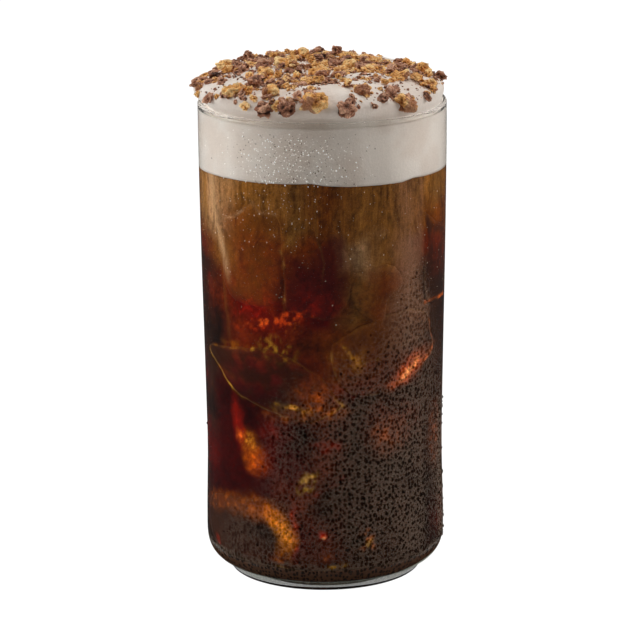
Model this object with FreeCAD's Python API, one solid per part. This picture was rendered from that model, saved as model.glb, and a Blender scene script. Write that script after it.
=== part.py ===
"""Iced mocha in its glass: a tall tumbler, two layers of drink, a domed cream foam and the
larger honeycomb and chocolate lumps that sit in it. Millimetres, +Z up, the foot at Z = 0,
the glass on the Z axis and its front towards -Y."""
import FreeCAD, Part
import math
import os
import random
from FreeCAD import Vector

os.makedirs("parts", exist_ok=True)

# ---------------------------------------------------------------- driving dimensions
# glass
GLASS_HEIGHT = 152.0      # foot to the top of the lip
RIM_RADIUS = 39.0         # outside of the lip
WAIST_RADIUS = 37.5       # the outside is narrowest here
WAIST_HEIGHT = 42.0
SWELL_RADIUS = 38.0       # outside just above the heel
SWELL_HEIGHT = 14.0
HEEL_RUN = 7.2            # how far the heel rounds inwards before the foot
FOOT_STEP = 0.2           # the foot stands in from the heel's edge by this much
FOOT_HEIGHT = 3.0
FOOT_RING = 5.0           # width of the ring that touches the table
PUNT = 0.9                # recess under the base, inside the ring
WALL = 2.1                # wall at mid height
LIP = 1.7                 # wall at the lip
BASE = 6.2                # foot plane to the inner floor
INNER_HEEL_RUN = 9.5      # inner floor to wall, along the floor
INNER_HEEL_RISE = 8.0     # inner floor to wall, up the wall

# drink
FOAM_DEPTH = 20.4         # lip to the foam's underside, on average
FOAM_LINE_WAVE = 0.35
MILK_DEPTH = 45.6         # foam's underside to where milky gives way to black coffee
MILK_LINE_WAVE = 3.2

# cream foam, measured up from the lip plane
SEAT_DEPTH = 2.0          # the foam meets the wall this far below the lip
NECK_GAP = 1.3            # between the lip and the foam where it is pinched in
NECK_SHIFT = 0.8          # the neck is tight to the wall on one side only
BULGE_INSET = 1.2         # outside of the lip to the widest part of the mound
BULGE_RISE = 3.3
DOME_RISE = 9.7
OVERHANG = 2.7            # how far the mound leans out over the lip on the -X side
OVERHANG_SPREAD = 55.0    # degrees
SHOULDER = 0.6            # below 1 the mound has steep sides and a flat top
FOLD = 0.7                # depth of the two broad folds
RIPPLE = 0.3              # depth of the small folds between them

# lumps in the foam: kind, azimuth, place between the middle (0) and the mound's widest part
# (1), length, width, height, turn
LUMPS = [
    ("honeycomb", 266.5, 0.962, 8.6, 6.0, 6.2, 90.0),
    ("honeycomb", 313.0, 1.000, 8.0, 6.0, 5.6, 47.0),
    ("honeycomb", 222.0, 0.915, 7.8, 5.6, 4.0, 138.0),
    ("honeycomb", 241.5, 0.872, 5.6, 4.6, 4.2, 118.0),
    ("honeycomb", 292.2, 0.869, 5.4, 4.8, 4.6, 70.0),
    ("honeycomb", 331.8, 0.720, 6.2, 5.2, 4.2, 30.0),
    ("honeycomb", 264.4, 0.275, 6.8, 5.6, 4.6, 95.0),
    ("honeycomb", 172.5, 0.300, 5.0, 4.6, 4.8, 8.0),
    ("honeycomb", 357.0, 0.239, 4.8, 4.4, 4.4, 0.0),
    ("honeycomb", 33.4, 0.471, 6.8, 5.4, 4.6, -33.0),
    ("honeycomb", 62.0, 0.449, 6.8, 5.6, 5.0, -50.0),
    ("honeycomb", 112.0, 0.470, 5.6, 5.0, 5.4, 35.0),
    ("honeycomb", 210.5, 0.514, 4.6, 4.2, 4.0, 0.0),
    ("chocolate", 242.7, 1.000, 5.6, 4.6, 4.4, 118.0),
    ("chocolate", 280.9, 0.999, 6.2, 5.0, 5.2, 80.0),
    ("chocolate", 253.8, 0.999, 6.2, 4.2, 4.2, 100.0),
    ("chocolate", 176.0, 0.450, 5.4, 4.2, 3.8, 4.0),
]
LUMP_LIFT = 0.1           # share of a lump's height that its middle stands above the foam
ROUGHNESS = 0.13          # how craggy the lumps are, as a share of their radius
BLOCKINESS = 3.4          # 2 gives rounded lumps, more gives squarer broken ones
SEED = 11

LIP_Z = GLASS_HEIGHT
HEEL_EDGE = SWELL_RADIUS - HEEL_RUN
FOOT_RADIUS = HEEL_EDGE - FOOT_STEP
FOAM_LINE = LIP_Z - FOAM_DEPTH
MILK_LINE = FOAM_LINE - MILK_DEPTH
NECK_RADIUS = RIM_RADIUS - LIP - NECK_GAP
BULGE_RADIUS = RIM_RADIUS - BULGE_INSET


# ---------------------------------------------------------------- helpers
def curve(points, start=None, end=None):
    """A smooth edge through (radius, height) pairs, with end directions if given."""
    spline = Part.BSplineCurve()
    stations = [Vector(radius, 0, height) for radius, height in points]
    if start and end:
        spline.interpolate(
            Points=stations,
            InitialTangent=Vector(start[0], 0, start[1]),
            FinalTangent=Vector(end[0], 0, end[1]),
        )
    else:
        spline.interpolate(stations)
    return spline.toShape()


def line(start, end):
    """A straight edge between two (radius, height) pairs."""
    return Part.makeLine(Vector(start[0], 0, start[1]), Vector(end[0], 0, end[1]))


def turned(edges):
    """Revolve a closed profile in the XZ plane about the Z axis."""
    wire = Part.Wire(Part.__sortEdges__(edges))
    face = Part.Face(wire)
    return face.revolve(Vector(0, 0, 0), Vector(0, 0, 1), 360)


def save(shape, name):
    """Write one piece, after making sure it is one sound solid."""
    solids = shape.Solids
    if len(solids) != 1 or not solids[0].isValid():
        raise ValueError("%s should be one valid solid, it has %d" % (name, len(solids)))
    solids[0].exportStep("parts/%s.step" % name)
    print("%-14s %9.1f mm3  %4d faces" % (name, solids[0].Volume, len(solids[0].Faces)))


# ---------------------------------------------------------------- glass
def outer_radius(height):
    """Outside of the wall: a faint waist low down, then an even flare to the lip."""
    if height < WAIST_HEIGHT:
        share = (WAIST_HEIGHT - height) / (WAIST_HEIGHT - SWELL_HEIGHT)
        return WAIST_RADIUS + (SWELL_RADIUS - WAIST_RADIUS) * (1 - math.cos(math.pi * share)) / 2
    share = (height - WAIST_HEIGHT) / (LIP_Z - WAIST_HEIGHT)
    return WAIST_RADIUS + (RIM_RADIUS - WAIST_RADIUS) * math.sin(math.pi * share / 2) ** 1.3


def wall_stations(offset_low, offset_high, low, high, count=7):
    """(radius, height) pairs up the wall, with the wall's own thickness taken off."""
    stations = []
    for step in range(count):
        share = step / (count - 1)
        height = low + (high - low) * share
        offset = offset_low + (offset_high - offset_low) * share
        stations.append((outer_radius(height) - offset, height))
    return stations


def outer_wall():
    low, high = SWELL_HEIGHT, LIP_Z - LIP / 2
    stations = wall_stations(0, 0, low, high)
    stations[-1] = (RIM_RADIUS, high)
    return stations, curve(stations, (0, 1), (0, 1))


def inner_wall():
    low, high = BASE + INNER_HEEL_RISE, LIP_Z - LIP / 2
    stations = wall_stations(WALL + 0.2, LIP, low, high)
    stations[-1] = (RIM_RADIUS - LIP, high)
    return stations, curve(stations, (0, 1), (0, 1))


def inner_heel(wall_foot):
    """The rounded corner between the inner floor and the wall."""
    floor_edge = (wall_foot[0] - INNER_HEEL_RUN, BASE)
    middle = (wall_foot[0] - INNER_HEEL_RUN * 0.26, BASE + INNER_HEEL_RISE * 0.27)
    return floor_edge, curve([floor_edge, middle, wall_foot], (1, 0), (0, 1))


def make_glass():
    outer, outer_edge = outer_wall()
    inner, inner_edge = inner_wall()
    floor_edge, heel_edge = inner_heel(inner[0])
    lip_top = Vector(RIM_RADIUS - LIP / 2, 0, LIP_Z)
    lip_out = Vector(outer[-1][0], 0, outer[-1][1])
    lip_in = Vector(inner[-1][0], 0, inner[-1][1])
    lip_edge = Part.Arc(lip_out, lip_top, lip_in).toShape()

    heel_low = (HEEL_EDGE, FOOT_HEIGHT)
    heel_mid = (outer[0][0] - HEEL_RUN * 0.3, FOOT_HEIGHT + (SWELL_HEIGHT - FOOT_HEIGHT) * 0.24)
    outer_heel = curve([heel_low, heel_mid, outer[0]], (1, 0.12), (0, 1))

    foot_top = (FOOT_RADIUS - 0.5, FOOT_HEIGHT - 0.5)
    foot_side = (FOOT_RADIUS, FOOT_HEIGHT / 2)
    foot_edge = (FOOT_RADIUS - 0.9, 0)
    foot_inner = (FOOT_RADIUS - FOOT_RING, 0)
    punt_edge = (foot_inner[0] - 2 * PUNT, PUNT)
    foot = curve([foot_edge, foot_side, foot_top], (1, 0.25), (-0.6, 1))
    return turned([
        line((0, PUNT), punt_edge),
        line(punt_edge, foot_inner),
        line(foot_inner, foot_edge),
        foot,
        line(foot_top, heel_low),
        outer_heel,
        outer_edge,
        lip_edge,
        inner_edge,
        heel_edge,
        line(floor_edge, (0, BASE)),
        line((0, BASE), (0, PUNT)),
    ])


def make_cavity():
    """The space inside the glass, from the floor to where the foam meets the wall."""
    inner, inner_edge = inner_wall()
    floor_edge, heel_edge = inner_heel(inner[0])
    top = inner[-1]
    whole = turned([
        line((0, BASE), floor_edge),
        heel_edge,
        inner_edge,
        line(top, (0, top[1])),
        line((0, top[1]), (0, BASE)),
    ])
    seat = LIP_Z - SEAT_DEPTH
    below = Part.makeCylinder(2 * RIM_RADIUS, seat)
    return whole.common(below)


# ---------------------------------------------------------------- layers of the drink
def block_below(mean, wave, turn, swirls):
    """Everything under a gently rolling surface, wide enough to cover the glass."""
    reach = 1.2 * max(RIM_RADIUS, SWELL_RADIUS)
    count = 15
    rows = []
    for i in range(count):
        row = []
        for j in range(count):
            x = reach * (2 * i / (count - 1) - 1)
            y = reach * (2 * j / (count - 1) - 1)
            along = (x * math.cos(turn) + y * math.sin(turn)) / RIM_RADIUS
            across = (y * math.cos(turn) - x * math.sin(turn)) / RIM_RADIUS
            height = math.sin(swirls * along + 0.7) * math.cos(swirls * 0.8 * across)
            height += 0.5 * math.sin(swirls * 1.7 * across + 1.9)
            row.append(Vector(x, y, mean + wave * height))
        rows.append(row)
    surface = Part.BSplineSurface()
    surface.interpolate(rows)
    return surface.toShape().extrude(Vector(0, 0, -2 * GLASS_HEIGHT))


# ---------------------------------------------------------------- cream mound
def near(azimuth, centre, spread):
    """1 at a direction and falling away smoothly on both sides, in degrees."""
    gap = (math.degrees(azimuth) - centre + 180) % 360 - 180
    return math.exp(-(gap / spread) ** 2)


def bulge_radius(azimuth):
    """The mound's widest radius in a direction: it leans out on the -X side."""
    radius = BULGE_RADIUS + OVERHANG * near(azimuth, 180, OVERHANG_SPREAD)
    radius += RIPPLE * math.sin(3 * azimuth + 0.6)
    return radius + 0.7 * RIPPLE * math.sin(5 * azimuth + 2.1)


def mound_point(azimuth, lean):
    """A point on the mound. lean runs from -1 at the neck, over 0 at the bulge, to 1 on top."""
    bulge = bulge_radius(azimuth)
    neck = NECK_RADIUS + NECK_SHIFT * math.cos(azimuth + 0.35)
    if lean < 0:
        blend = (1 + math.cos(math.pi * lean)) / 2
        radius = neck + (bulge - neck) * blend
        rise = BULGE_RISE + (BULGE_RISE + SEAT_DEPTH) * lean
        return radius, rise
    angle = lean * math.pi / 2
    radius = bulge * math.cos(angle) ** SHOULDER
    rise = BULGE_RISE + (DOME_RISE - BULGE_RISE) * math.sin(angle) ** 0.9
    fade = math.sin(2 * angle) ** 1.2
    rise += FOLD * fade * math.sin(2 * azimuth - 3.2 * angle + 0.8)
    rise += RIPPLE * fade * math.sin(5 * azimuth + 4.0 * angle)
    return radius, rise


def ring(lean, flat=None):
    """One closed section through the mound."""
    count = 30
    points = []
    for step in range(count):
        azimuth = 2 * math.pi * step / count
        radius, rise = mound_point(azimuth, lean)
        height = LIP_Z + (rise if flat is None else flat)
        points.append(Vector(radius * math.cos(azimuth), radius * math.sin(azimuth), height))
    spline = Part.BSplineCurve()
    spline.interpolate(Points=points, PeriodicFlag=True)
    return Part.Wire([spline.toShape()])


def make_mound():
    leans = [-1.0, -0.75, -0.5, -0.25, 0.0, 0.16, 0.32, 0.48, 0.62, 0.75, 0.86, 0.94, 0.985]
    sections = []
    for lean in leans:
        if lean == leans[0]:
            sections.append(ring(lean, -SEAT_DEPTH))
        elif lean == leans[-1]:
            sections.append(ring(lean, DOME_RISE))
        else:
            sections.append(ring(lean))
    return Part.makeLoft(sections, True, False)


def foam_height(azimuth, distance):
    """Height of the mound's upper face at a distance from the axis."""
    low, high = 0.0, 1.0
    for _ in range(40):
        middle = (low + high) / 2
        if mound_point(azimuth, middle)[0] > distance:
            low = middle
        else:
            high = middle
    return LIP_Z + mound_point(azimuth, low)[1]


# ---------------------------------------------------------------- lumps
def icosphere():
    """Corners and triangles of a twenty-sided ball, each side split in four."""
    golden = (1 + math.sqrt(5)) / 2
    corners = []
    for a in (-1, 1):
        for b in (-golden, golden):
            corners += [Vector(0, a, b), Vector(a, b, 0), Vector(b, 0, a)]
    sides = []
    for i in range(12):
        for j in range(i + 1, 12):
            for k in range(j + 1, 12):
                trio = (corners[i], corners[j], corners[k])
                spans = [trio[0].distanceToPoint(trio[1]), trio[1].distanceToPoint(trio[2]),
                         trio[2].distanceToPoint(trio[0])]
                if max(spans) < 2.01:
                    outward = (trio[1] - trio[0]).cross(trio[2] - trio[0]).dot(trio[0])
                    sides.append((i, j, k) if outward > 0 else (i, k, j))
    middles = {}

    def middle(i, j):
        key = (min(i, j), max(i, j))
        if key not in middles:
            middles[key] = len(corners)
            corners.append((corners[i] + corners[j]) * 0.5)
        return middles[key]

    split = []
    for i, j, k in sides:
        a, b, c = middle(i, j), middle(j, k), middle(k, i)
        split += [(i, a, c), (j, b, a), (k, c, b), (a, b, c)]
    return [corner.normalize() for corner in corners], split


def make_lump(size, seed):
    """A craggy lump about the origin, size being its full length, width and height."""
    dice = random.Random(seed)
    corners, sides = icosphere()
    bite = Vector(dice.uniform(-1, 1), dice.uniform(-1, 1), dice.uniform(0.1, 1)).normalize()
    moved = []
    for corner in corners:
        parts = [abs(value) ** BLOCKINESS for value in (corner.x, corner.y, corner.z)]
        swell = 0.92 * sum(parts) ** (-1 / BLOCKINESS)
        swell += ROUGHNESS * dice.uniform(-1, 1)
        swell -= 2.4 * ROUGHNESS * max(0.0, corner.dot(bite) - 0.45)
        moved.append(Vector(corner.x * size[0], corner.y * size[1], corner.z * size[2]) * (swell / 2))
    faces = []
    for i, j, k in sides:
        faces.append(Part.Face(Part.makePolygon([moved[i], moved[j], moved[k], moved[i]])))
    return Part.Solid(Part.Shell(faces))


def place_lump(row, index):
    kind, azimuth, place, length, width, height, turn = row
    angle = math.radians(azimuth)
    distance = place * bulge_radius(angle)
    lump = make_lump((length, width, height), SEED + index)
    lump.rotate(Vector(0, 0, 0), Vector(0, 0, 1), azimuth + turn)
    ahead = foam_height(angle, max(0.0, distance - 2.0))
    behind = foam_height(angle, distance)
    tilt = math.degrees(math.atan2(ahead - behind, 2.0))
    sideways = Vector(-math.sin(angle), math.cos(angle), 0)
    lump.rotate(Vector(0, 0, 0), sideways, 0.7 * min(60.0, tilt))
    lift = LUMP_LIFT * height
    lump.translate(Vector(distance * math.cos(angle), distance * math.sin(angle), behind + lift))
    return lump


# ---------------------------------------------------------------- build
def main():
    glass = make_glass()
    cavity = make_cavity()
    under_foam = block_below(FOAM_LINE, FOAM_LINE_WAVE, 0.5, 3.0)
    under_milk = block_below(MILK_LINE, MILK_LINE_WAVE, 1.1, 3.4)
    drink = cavity.common(under_foam)
    coffee = drink.common(under_milk)
    milky = drink.cut(under_milk)
    band = cavity.cut(under_foam)
    foam = band.fuse(make_mound())

    lumps = [place_lump(row, index) for index, row in enumerate(LUMPS)]
    foam = foam.cut(lumps)

    save(glass, "glass")
    save(coffee, "black_coffee")
    save(milky, "milky_coffee")
    save(foam, "cream_foam")
    counts = {}
    for row, lump in zip(LUMPS, lumps):
        counts[row[0]] = counts.get(row[0], 0) + 1
        save(lump, "%s_%02d" % (row[0], counts[row[0]]))


main()
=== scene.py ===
# %% [markdown]
# # An iced mocha under a crumbed cream dome
# This lesson dresses a drink that was first drawn as plain solids. The solids say where
# everything is and how big it is; here they get the look of glass, coffee, ice, cream and
# broken honeycomb. Every length is written in millimetres and turned into metres when a mesh
# is made, so that the numbers stay easy to read.

import bmesh
import bpy
import math
import random
import numpy as np
from mathutils import Matrix, Vector
from mathutils.bvhtree import BVHTree


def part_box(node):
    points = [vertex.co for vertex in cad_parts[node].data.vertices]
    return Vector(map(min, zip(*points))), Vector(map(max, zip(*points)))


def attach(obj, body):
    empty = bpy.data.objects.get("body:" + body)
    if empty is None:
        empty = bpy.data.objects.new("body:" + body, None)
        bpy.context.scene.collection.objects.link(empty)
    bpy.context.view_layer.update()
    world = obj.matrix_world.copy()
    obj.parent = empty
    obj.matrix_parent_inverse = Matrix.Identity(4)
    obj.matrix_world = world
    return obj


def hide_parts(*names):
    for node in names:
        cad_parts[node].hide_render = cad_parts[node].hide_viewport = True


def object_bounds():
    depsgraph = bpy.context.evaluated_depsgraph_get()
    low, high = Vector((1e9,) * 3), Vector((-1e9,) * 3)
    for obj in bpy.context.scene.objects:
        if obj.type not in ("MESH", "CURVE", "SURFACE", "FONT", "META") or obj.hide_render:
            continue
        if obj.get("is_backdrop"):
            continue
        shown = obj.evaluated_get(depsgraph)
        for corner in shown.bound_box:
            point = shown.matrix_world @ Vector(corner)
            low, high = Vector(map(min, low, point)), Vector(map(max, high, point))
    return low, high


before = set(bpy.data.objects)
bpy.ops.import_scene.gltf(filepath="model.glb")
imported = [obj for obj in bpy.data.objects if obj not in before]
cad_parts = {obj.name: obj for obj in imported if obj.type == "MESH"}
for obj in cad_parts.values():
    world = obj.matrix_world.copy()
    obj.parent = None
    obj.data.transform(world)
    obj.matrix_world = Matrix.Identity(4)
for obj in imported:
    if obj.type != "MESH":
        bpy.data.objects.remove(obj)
solid_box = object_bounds()
MM = 0.001

# %% [markdown]
# ## Reading the glass
# What fills a glass has to follow its inside exactly, so the inside is measured instead of
# typed in again: rays from the axis hit the inner wall, and rays from outside hit the outer
# one. The widest hit over a few directions is kept, because a turned solid is made of flat
# facets. "Turn" is the direction round the glass in degrees, 0 at the front (-Y) and growing
# towards +X.

# %% Turns round the glass
def toward(turn):
    """Unit steps in X and Y for a turn in degrees."""
    angle = np.radians(turn)
    return np.sin(angle), -np.cos(angle)


def turn_gap(turns, centre):
    """Degrees from a centre, the short way round."""
    return (turns - centre + 180) % 360 - 180


print("turn 90 points to", [round(float(step), 3) for step in toward(90)])

# %% Lip and floor
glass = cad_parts["glass"]
glass_tree = BVHTree.FromPolygons([v.co.copy() for v in glass.data.vertices],
                                  [tuple(p.vertices) for p in glass.data.polygons])
LIP_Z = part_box("glass")[1].z / MM
FLOOR_Z = glass_tree.ray_cast(Vector((0, 0, 0.05)), Vector((0, 0, -1)))[0].z / MM
print("floor %.2f, lip %.2f" % (FLOOR_Z, LIP_Z))

# %% Wall radius at every height
def widest(height, inside):
    """The widest hit on one face of the wall, over a few directions."""
    reach = 0.0
    for turn in range(0, 360, 23):
        x, y = toward(turn)
        way = Vector((float(x), float(y), 0))
        start = Vector((0, 0, height * MM)) if inside else way * 0.2 + Vector((0, 0, height * MM))
        hit = glass_tree.ray_cast(start, way if inside else -way)[0]
        if hit is not None:
            reach = max(reach, math.hypot(hit.x, hit.y) / MM)
    return reach


HEIGHTS = np.concatenate([np.linspace(FLOOR_Z + 0.05, 16, 40), np.linspace(17, LIP_Z - 0.4, 70)])
INSIDE = np.array([widest(h, True) for h in HEIGHTS])
OUT_HEIGHTS = np.linspace(0.4, LIP_Z - 0.3, 140)
OUTSIDE = np.array([widest(h, False) for h in OUT_HEIGHTS])


def inner_wall(height):
    return np.interp(height, HEIGHTS, INSIDE)


def outer_wall(height):
    return np.interp(height, OUT_HEIGHTS, OUTSIDE)


print("half way up: inside %.2f, outside %.2f" % (inner_wall(80), outer_wall(80)))

# %% [markdown]
# ## Noise made of numbers
# Milk in coffee, worn ice and broken crumbs are all uneven in the same way: big soft shapes
# with smaller ones on top. A value is drawn for every cell of a lattice and blended smoothly
# between cells; adding the same thing at half the size, again and again, gives clouds. Doing
# it in numpy keeps a hundred thousand points quick, and the same seed gives the same drink.

# %% Soft noise
def cell_value(cells, seed):
    """A repeatable number from 0 to 1 for each whole-numbered cell."""
    c = cells.astype(np.uint64)
    n = c[..., 0] * np.uint64(374761393) + c[..., 1] * np.uint64(668265263)
    n = n + c[..., 2] * np.uint64(2246822519) + np.uint64(seed) * np.uint64(3266489917)
    n = (n ^ (n >> np.uint64(13))) * np.uint64(1274126177)
    n = (n ^ (n >> np.uint64(16))) * np.uint64(2654435761)
    return ((n >> np.uint64(7)) & np.uint64(0xFFFFFF)).astype(float) / 0xFFFFFF


def soft_noise(points, size, seed=0):
    """Soft blobs about `size` millimetres across, from 0 to 1."""
    p = np.asarray(points, float) / size + 4096.0
    base = np.floor(p)
    f = p - base
    f = f * f * (3 - 2 * f)
    total = np.zeros(p.shape[:-1])
    for corner in range(8):
        step = np.array([corner & 1, corner >> 1 & 1, corner >> 2 & 1])
        weight = np.prod(np.where(step == 1, f, 1 - f), axis=-1)
        total += weight * cell_value(base + step, seed)
    return total


def clouds(points, size, seed=0, layers=4):
    """Soft noise with finer and fainter copies of itself added."""
    total, weight = 0.0, 0.0
    for layer in range(layers):
        total = total + soft_noise(points, size / 2 ** layer, seed + layer) / 2 ** layer
        weight += 1 / 2 ** layer
    return total / weight


def ease(value, low, high):
    """0 below low, 1 above high, and smooth between."""
    t = np.clip((np.asarray(value, float) - low) / (high - low), 0, 1)
    return t * t * (3 - 2 * t)


sample = clouds(np.random.default_rng(1).uniform(-50, 50, (4000, 3)), 10)
print("noise runs from %.2f to %.2f, mean %.2f" % (sample.min(), sample.max(), sample.mean()))

# %% [markdown]
# ## Meshes from numbers
# A mesh is a list of corners and a list of faces that join them. Most pieces here are a
# sleeve: rings of points stacked up, joined ring to ring and closed at both ends. A colour
# that changes from place to place is stored at the corners, where the material reads it.

# %% Making a piece
def mesh_piece(name, corners, faces, smooth=True):
    """A mesh object from millimetre corners, riding on the one body of this object."""
    mesh = bpy.data.meshes.new(name)
    mesh.from_pydata((np.asarray(corners, float) * MM).tolist(), [], faces)
    mesh.validate()
    mesh.polygons.foreach_set("use_smooth", [smooth] * len(mesh.polygons))
    mesh.update()
    piece = bpy.data.objects.new(name, mesh)
    bpy.context.scene.collection.objects.link(piece)
    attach(piece, "root")
    return piece


def sleeve(rings):
    """Corners and faces of a closed skin through rings of points, capped at both ends."""
    rows, columns = rings.shape[:2]
    corners = rings.reshape(-1, 3)
    index = np.arange(rows * columns).reshape(rows, columns)
    low, high = index[:-1], index[1:]
    quads = np.stack([low, np.roll(low, -1, 1), np.roll(high, -1, 1), high], -1).reshape(-1, 4)
    ends = np.array([rings[0].mean(0), rings[-1].mean(0)])
    faces = quads.tolist()
    first, last = len(corners), len(corners) + 1
    for column in range(columns):
        after = (column + 1) % columns
        faces.append([int(index[0, after]), int(index[0, column]), first])
        faces.append([int(index[-1, column]), int(index[-1, after]), last])
    return np.vstack([corners, ends]), faces


# %% Colours on a mesh
def paint(piece, name, colours):
    """Store a linear colour at each corner of a piece."""
    layer = piece.data.color_attributes.new(name=name, type="FLOAT_COLOR", domain="POINT")
    rgba = np.ones((len(piece.data.vertices), 4), np.float32)
    rgba[:, :3] = colours
    layer.data.foreach_set("color", rgba.ravel())


def tone(red, green, blue):
    """A linear colour from the 0 to 255 numbers that a paint chart gives."""
    parts = np.array([red, green, blue]) / 255.0
    return np.where(parts <= 0.04045, parts / 12.92, ((parts + 0.055) / 1.055) ** 2.4)


def mix(base, colour, share):
    """Colours moved by a share towards another colour."""
    share = np.asarray(share)[..., None]
    return base * (1 - share) + np.asarray(colour) * share


print("mid grey is", tone(128, 128, 128).round(3))

# %% [markdown]
# ## Fine texture as node groups
# The mesh carries the large shapes and colours; everything finer than half a millimetre is
# made by nodes. Two effects come back in several materials, so each is a group with named
# inputs: Grain speckles a colour with small lighter and darker points, and Pores gives a
# height for a Bump node, with small pits of uneven size.

# %% Nodes in few words
def new_group(name, inputs, outputs):
    group = bpy.data.node_groups.new(name, "ShaderNodeTree")
    for label, kind, value in inputs:
        socket = group.interface.new_socket(label, in_out="INPUT", socket_type=kind)
        if value is not None:
            socket.default_value = value
    for label, kind in outputs:
        group.interface.new_socket(label, in_out="OUTPUT", socket_type=kind)
    start = group.nodes.new("NodeGroupInput")
    end = group.nodes.new("NodeGroupOutput")
    return group, start, end


def node(tree, kind, **values):
    made = tree.nodes.new(kind)
    for key, value in values.items():
        setattr(made, key, value)
    return made


def math_node(tree, operation, first, second=None, clamp=False):
    made = node(tree, "ShaderNodeMath", operation=operation, use_clamp=clamp)
    for slot_index, value in enumerate((first, second)):
        if value is None:
            continue
        if isinstance(value, (int, float)):
            made.inputs[slot_index].default_value = value
        else:
            tree.links.new(value, made.inputs[slot_index])
    return made.outputs[0]


print("node helpers ready")

# %% Grain
def make_grain():
    group, start, end = new_group(
        "Grain",
        [("Color", "NodeSocketColor", None), ("Scale", "NodeSocketFloat", 900.0),
         ("Stretch", "NodeSocketFloat", 1.0), ("Amount", "NodeSocketFloat", 0.3)],
        [("Color", "NodeSocketColor")])
    place = node(group, "ShaderNodeTexCoord")
    squeeze = node(group, "ShaderNodeCombineXYZ")
    squeeze.inputs[0].default_value = squeeze.inputs[1].default_value = 1.0
    group.links.new(start.outputs["Stretch"], squeeze.inputs[2])
    spread = node(group, "ShaderNodeVectorMath", operation="MULTIPLY")
    group.links.new(place.outputs["Object"], spread.inputs[0])
    group.links.new(squeeze.outputs[0], spread.inputs[1])
    noise = node(group, "ShaderNodeTexNoise")
    noise.inputs["Detail"].default_value = 3.0
    noise.inputs["Roughness"].default_value = 0.62
    group.links.new(spread.outputs[0], noise.inputs["Vector"])
    group.links.new(start.outputs["Scale"], noise.inputs["Scale"])
    centred = math_node(group, "SUBTRACT", noise.outputs["Fac"], 0.5)
    swing = math_node(group, "MULTIPLY", centred, start.outputs["Amount"])
    gain = math_node(group, "ADD", math_node(group, "MULTIPLY", swing, 4.0), 1.0)
    gain = math_node(group, "MAXIMUM", gain, 0.0)
    bright = node(group, "ShaderNodeVectorMath", operation="SCALE")
    group.links.new(start.outputs["Color"], bright.inputs[0])
    group.links.new(gain, bright.inputs["Scale"])
    group.links.new(bright.outputs[0], end.inputs["Color"])
    return group


GRAIN = make_grain()
print("group:", GRAIN.name, "with", [s.name for s in GRAIN.interface.items_tree])

# %% Pores
def make_pores():
    group, start, end = new_group(
        "Pores",
        [("Scale", "NodeSocketFloat", 900.0), ("Depth", "NodeSocketFloat", 0.5)],
        [("Height", "NodeSocketFloat")])
    place = node(group, "ShaderNodeTexCoord")
    cells = node(group, "ShaderNodeTexVoronoi", feature="F1")
    group.links.new(place.outputs["Object"], cells.inputs["Vector"])
    group.links.new(start.outputs["Scale"], cells.inputs["Scale"])
    rough = node(group, "ShaderNodeTexNoise")
    rough.inputs["Detail"].default_value = 4.0
    group.links.new(place.outputs["Object"], rough.inputs["Vector"])
    wide = math_node(group, "MULTIPLY", start.outputs["Scale"], 0.35)
    group.links.new(wide, rough.inputs["Scale"])
    pits = math_node(group, "MULTIPLY", cells.outputs["Distance"], start.outputs["Depth"])
    total = math_node(group, "ADD", pits, rough.outputs["Fac"])
    group.links.new(total, end.inputs["Height"])
    return group


PORES = make_pores()
print("group:", PORES.name, "with", [s.name for s in PORES.interface.items_tree])

# %% [markdown]
# ## Starting a material
# Every material here begins with one Principled shader. Its plain numbers are set straight on
# its sockets, and only what changes over the surface comes from other nodes: a painted layer,
# nearly always with some grain over it, and a height for the bump.

# %% Material helpers
def new_material(name, **values):
    """A material with one Principled shader, whose plain numbers are set on its sockets."""
    material = bpy.data.materials.new(name)
    material.use_nodes = True
    tree = material.node_tree
    shader = tree.nodes["Principled BSDF"]
    for key, value in values.items():
        shader.inputs[key.replace("_", " ")].default_value = value
    return material, tree, shader


def use_group(tree, group, **values):
    made = node(tree, "ShaderNodeGroup", node_tree=group)
    for key, value in values.items():
        made.inputs[key].default_value = value
    return made


def painted(tree, name):
    return node(tree, "ShaderNodeVertexColor", layer_name=name).outputs["Color"]


def add_bump(tree, shader, height, strength, distance):
    bump = node(tree, "ShaderNodeBump")
    bump.inputs["Strength"].default_value = strength
    bump.inputs["Distance"].default_value = distance
    tree.links.new(height, bump.inputs["Height"])
    tree.links.new(bump.outputs["Normal"], shader.inputs["Normal"])


def grained(tree, shader, layer, socket, scale, amount, stretch=1.0):
    """Feed a painted layer to a socket of the shader, speckled with grain."""
    grain = use_group(tree, GRAIN, Scale=scale, Stretch=stretch, Amount=amount)
    tree.links.new(painted(tree, layer), grain.inputs["Color"])
    tree.links.new(grain.outputs["Color"], shader.inputs[socket])
    return grain.outputs["Color"]


def blended(tree, share, low, high):
    """A mix of two colours, each a socket or four plain numbers."""
    made = node(tree, "ShaderNodeMix", data_type="RGBA")
    tree.links.new(share, made.inputs[0])
    for place, value in ((6, low), (7, high)):
        if isinstance(value, tuple):
            made.inputs[place].default_value = value
        else:
            tree.links.new(value, made.inputs[place])
    return made.outputs[2]


def let_light_in(tree, shader):
    """Shadow rays pass a clear piece straight through, so that what it holds is lit."""
    path = node(tree, "ShaderNodeLightPath")
    clear = node(tree, "ShaderNodeBsdfTransparent")
    both = node(tree, "ShaderNodeMixShader")
    tree.links.new(path.outputs["Is Shadow Ray"], both.inputs[0])
    tree.links.new(shader.outputs[0], both.inputs[1])
    tree.links.new(clear.outputs[0], both.inputs[2])
    tree.links.new(both.outputs[0], tree.nodes["Material Output"].inputs["Surface"])


GRAIN_SCALE = 2600.0    # grains of about 0.4 mm, for what is seen through the wall
SPARK = 1.9             # so strong that a glow breaks up into sparks
print("material helpers ready")

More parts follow.
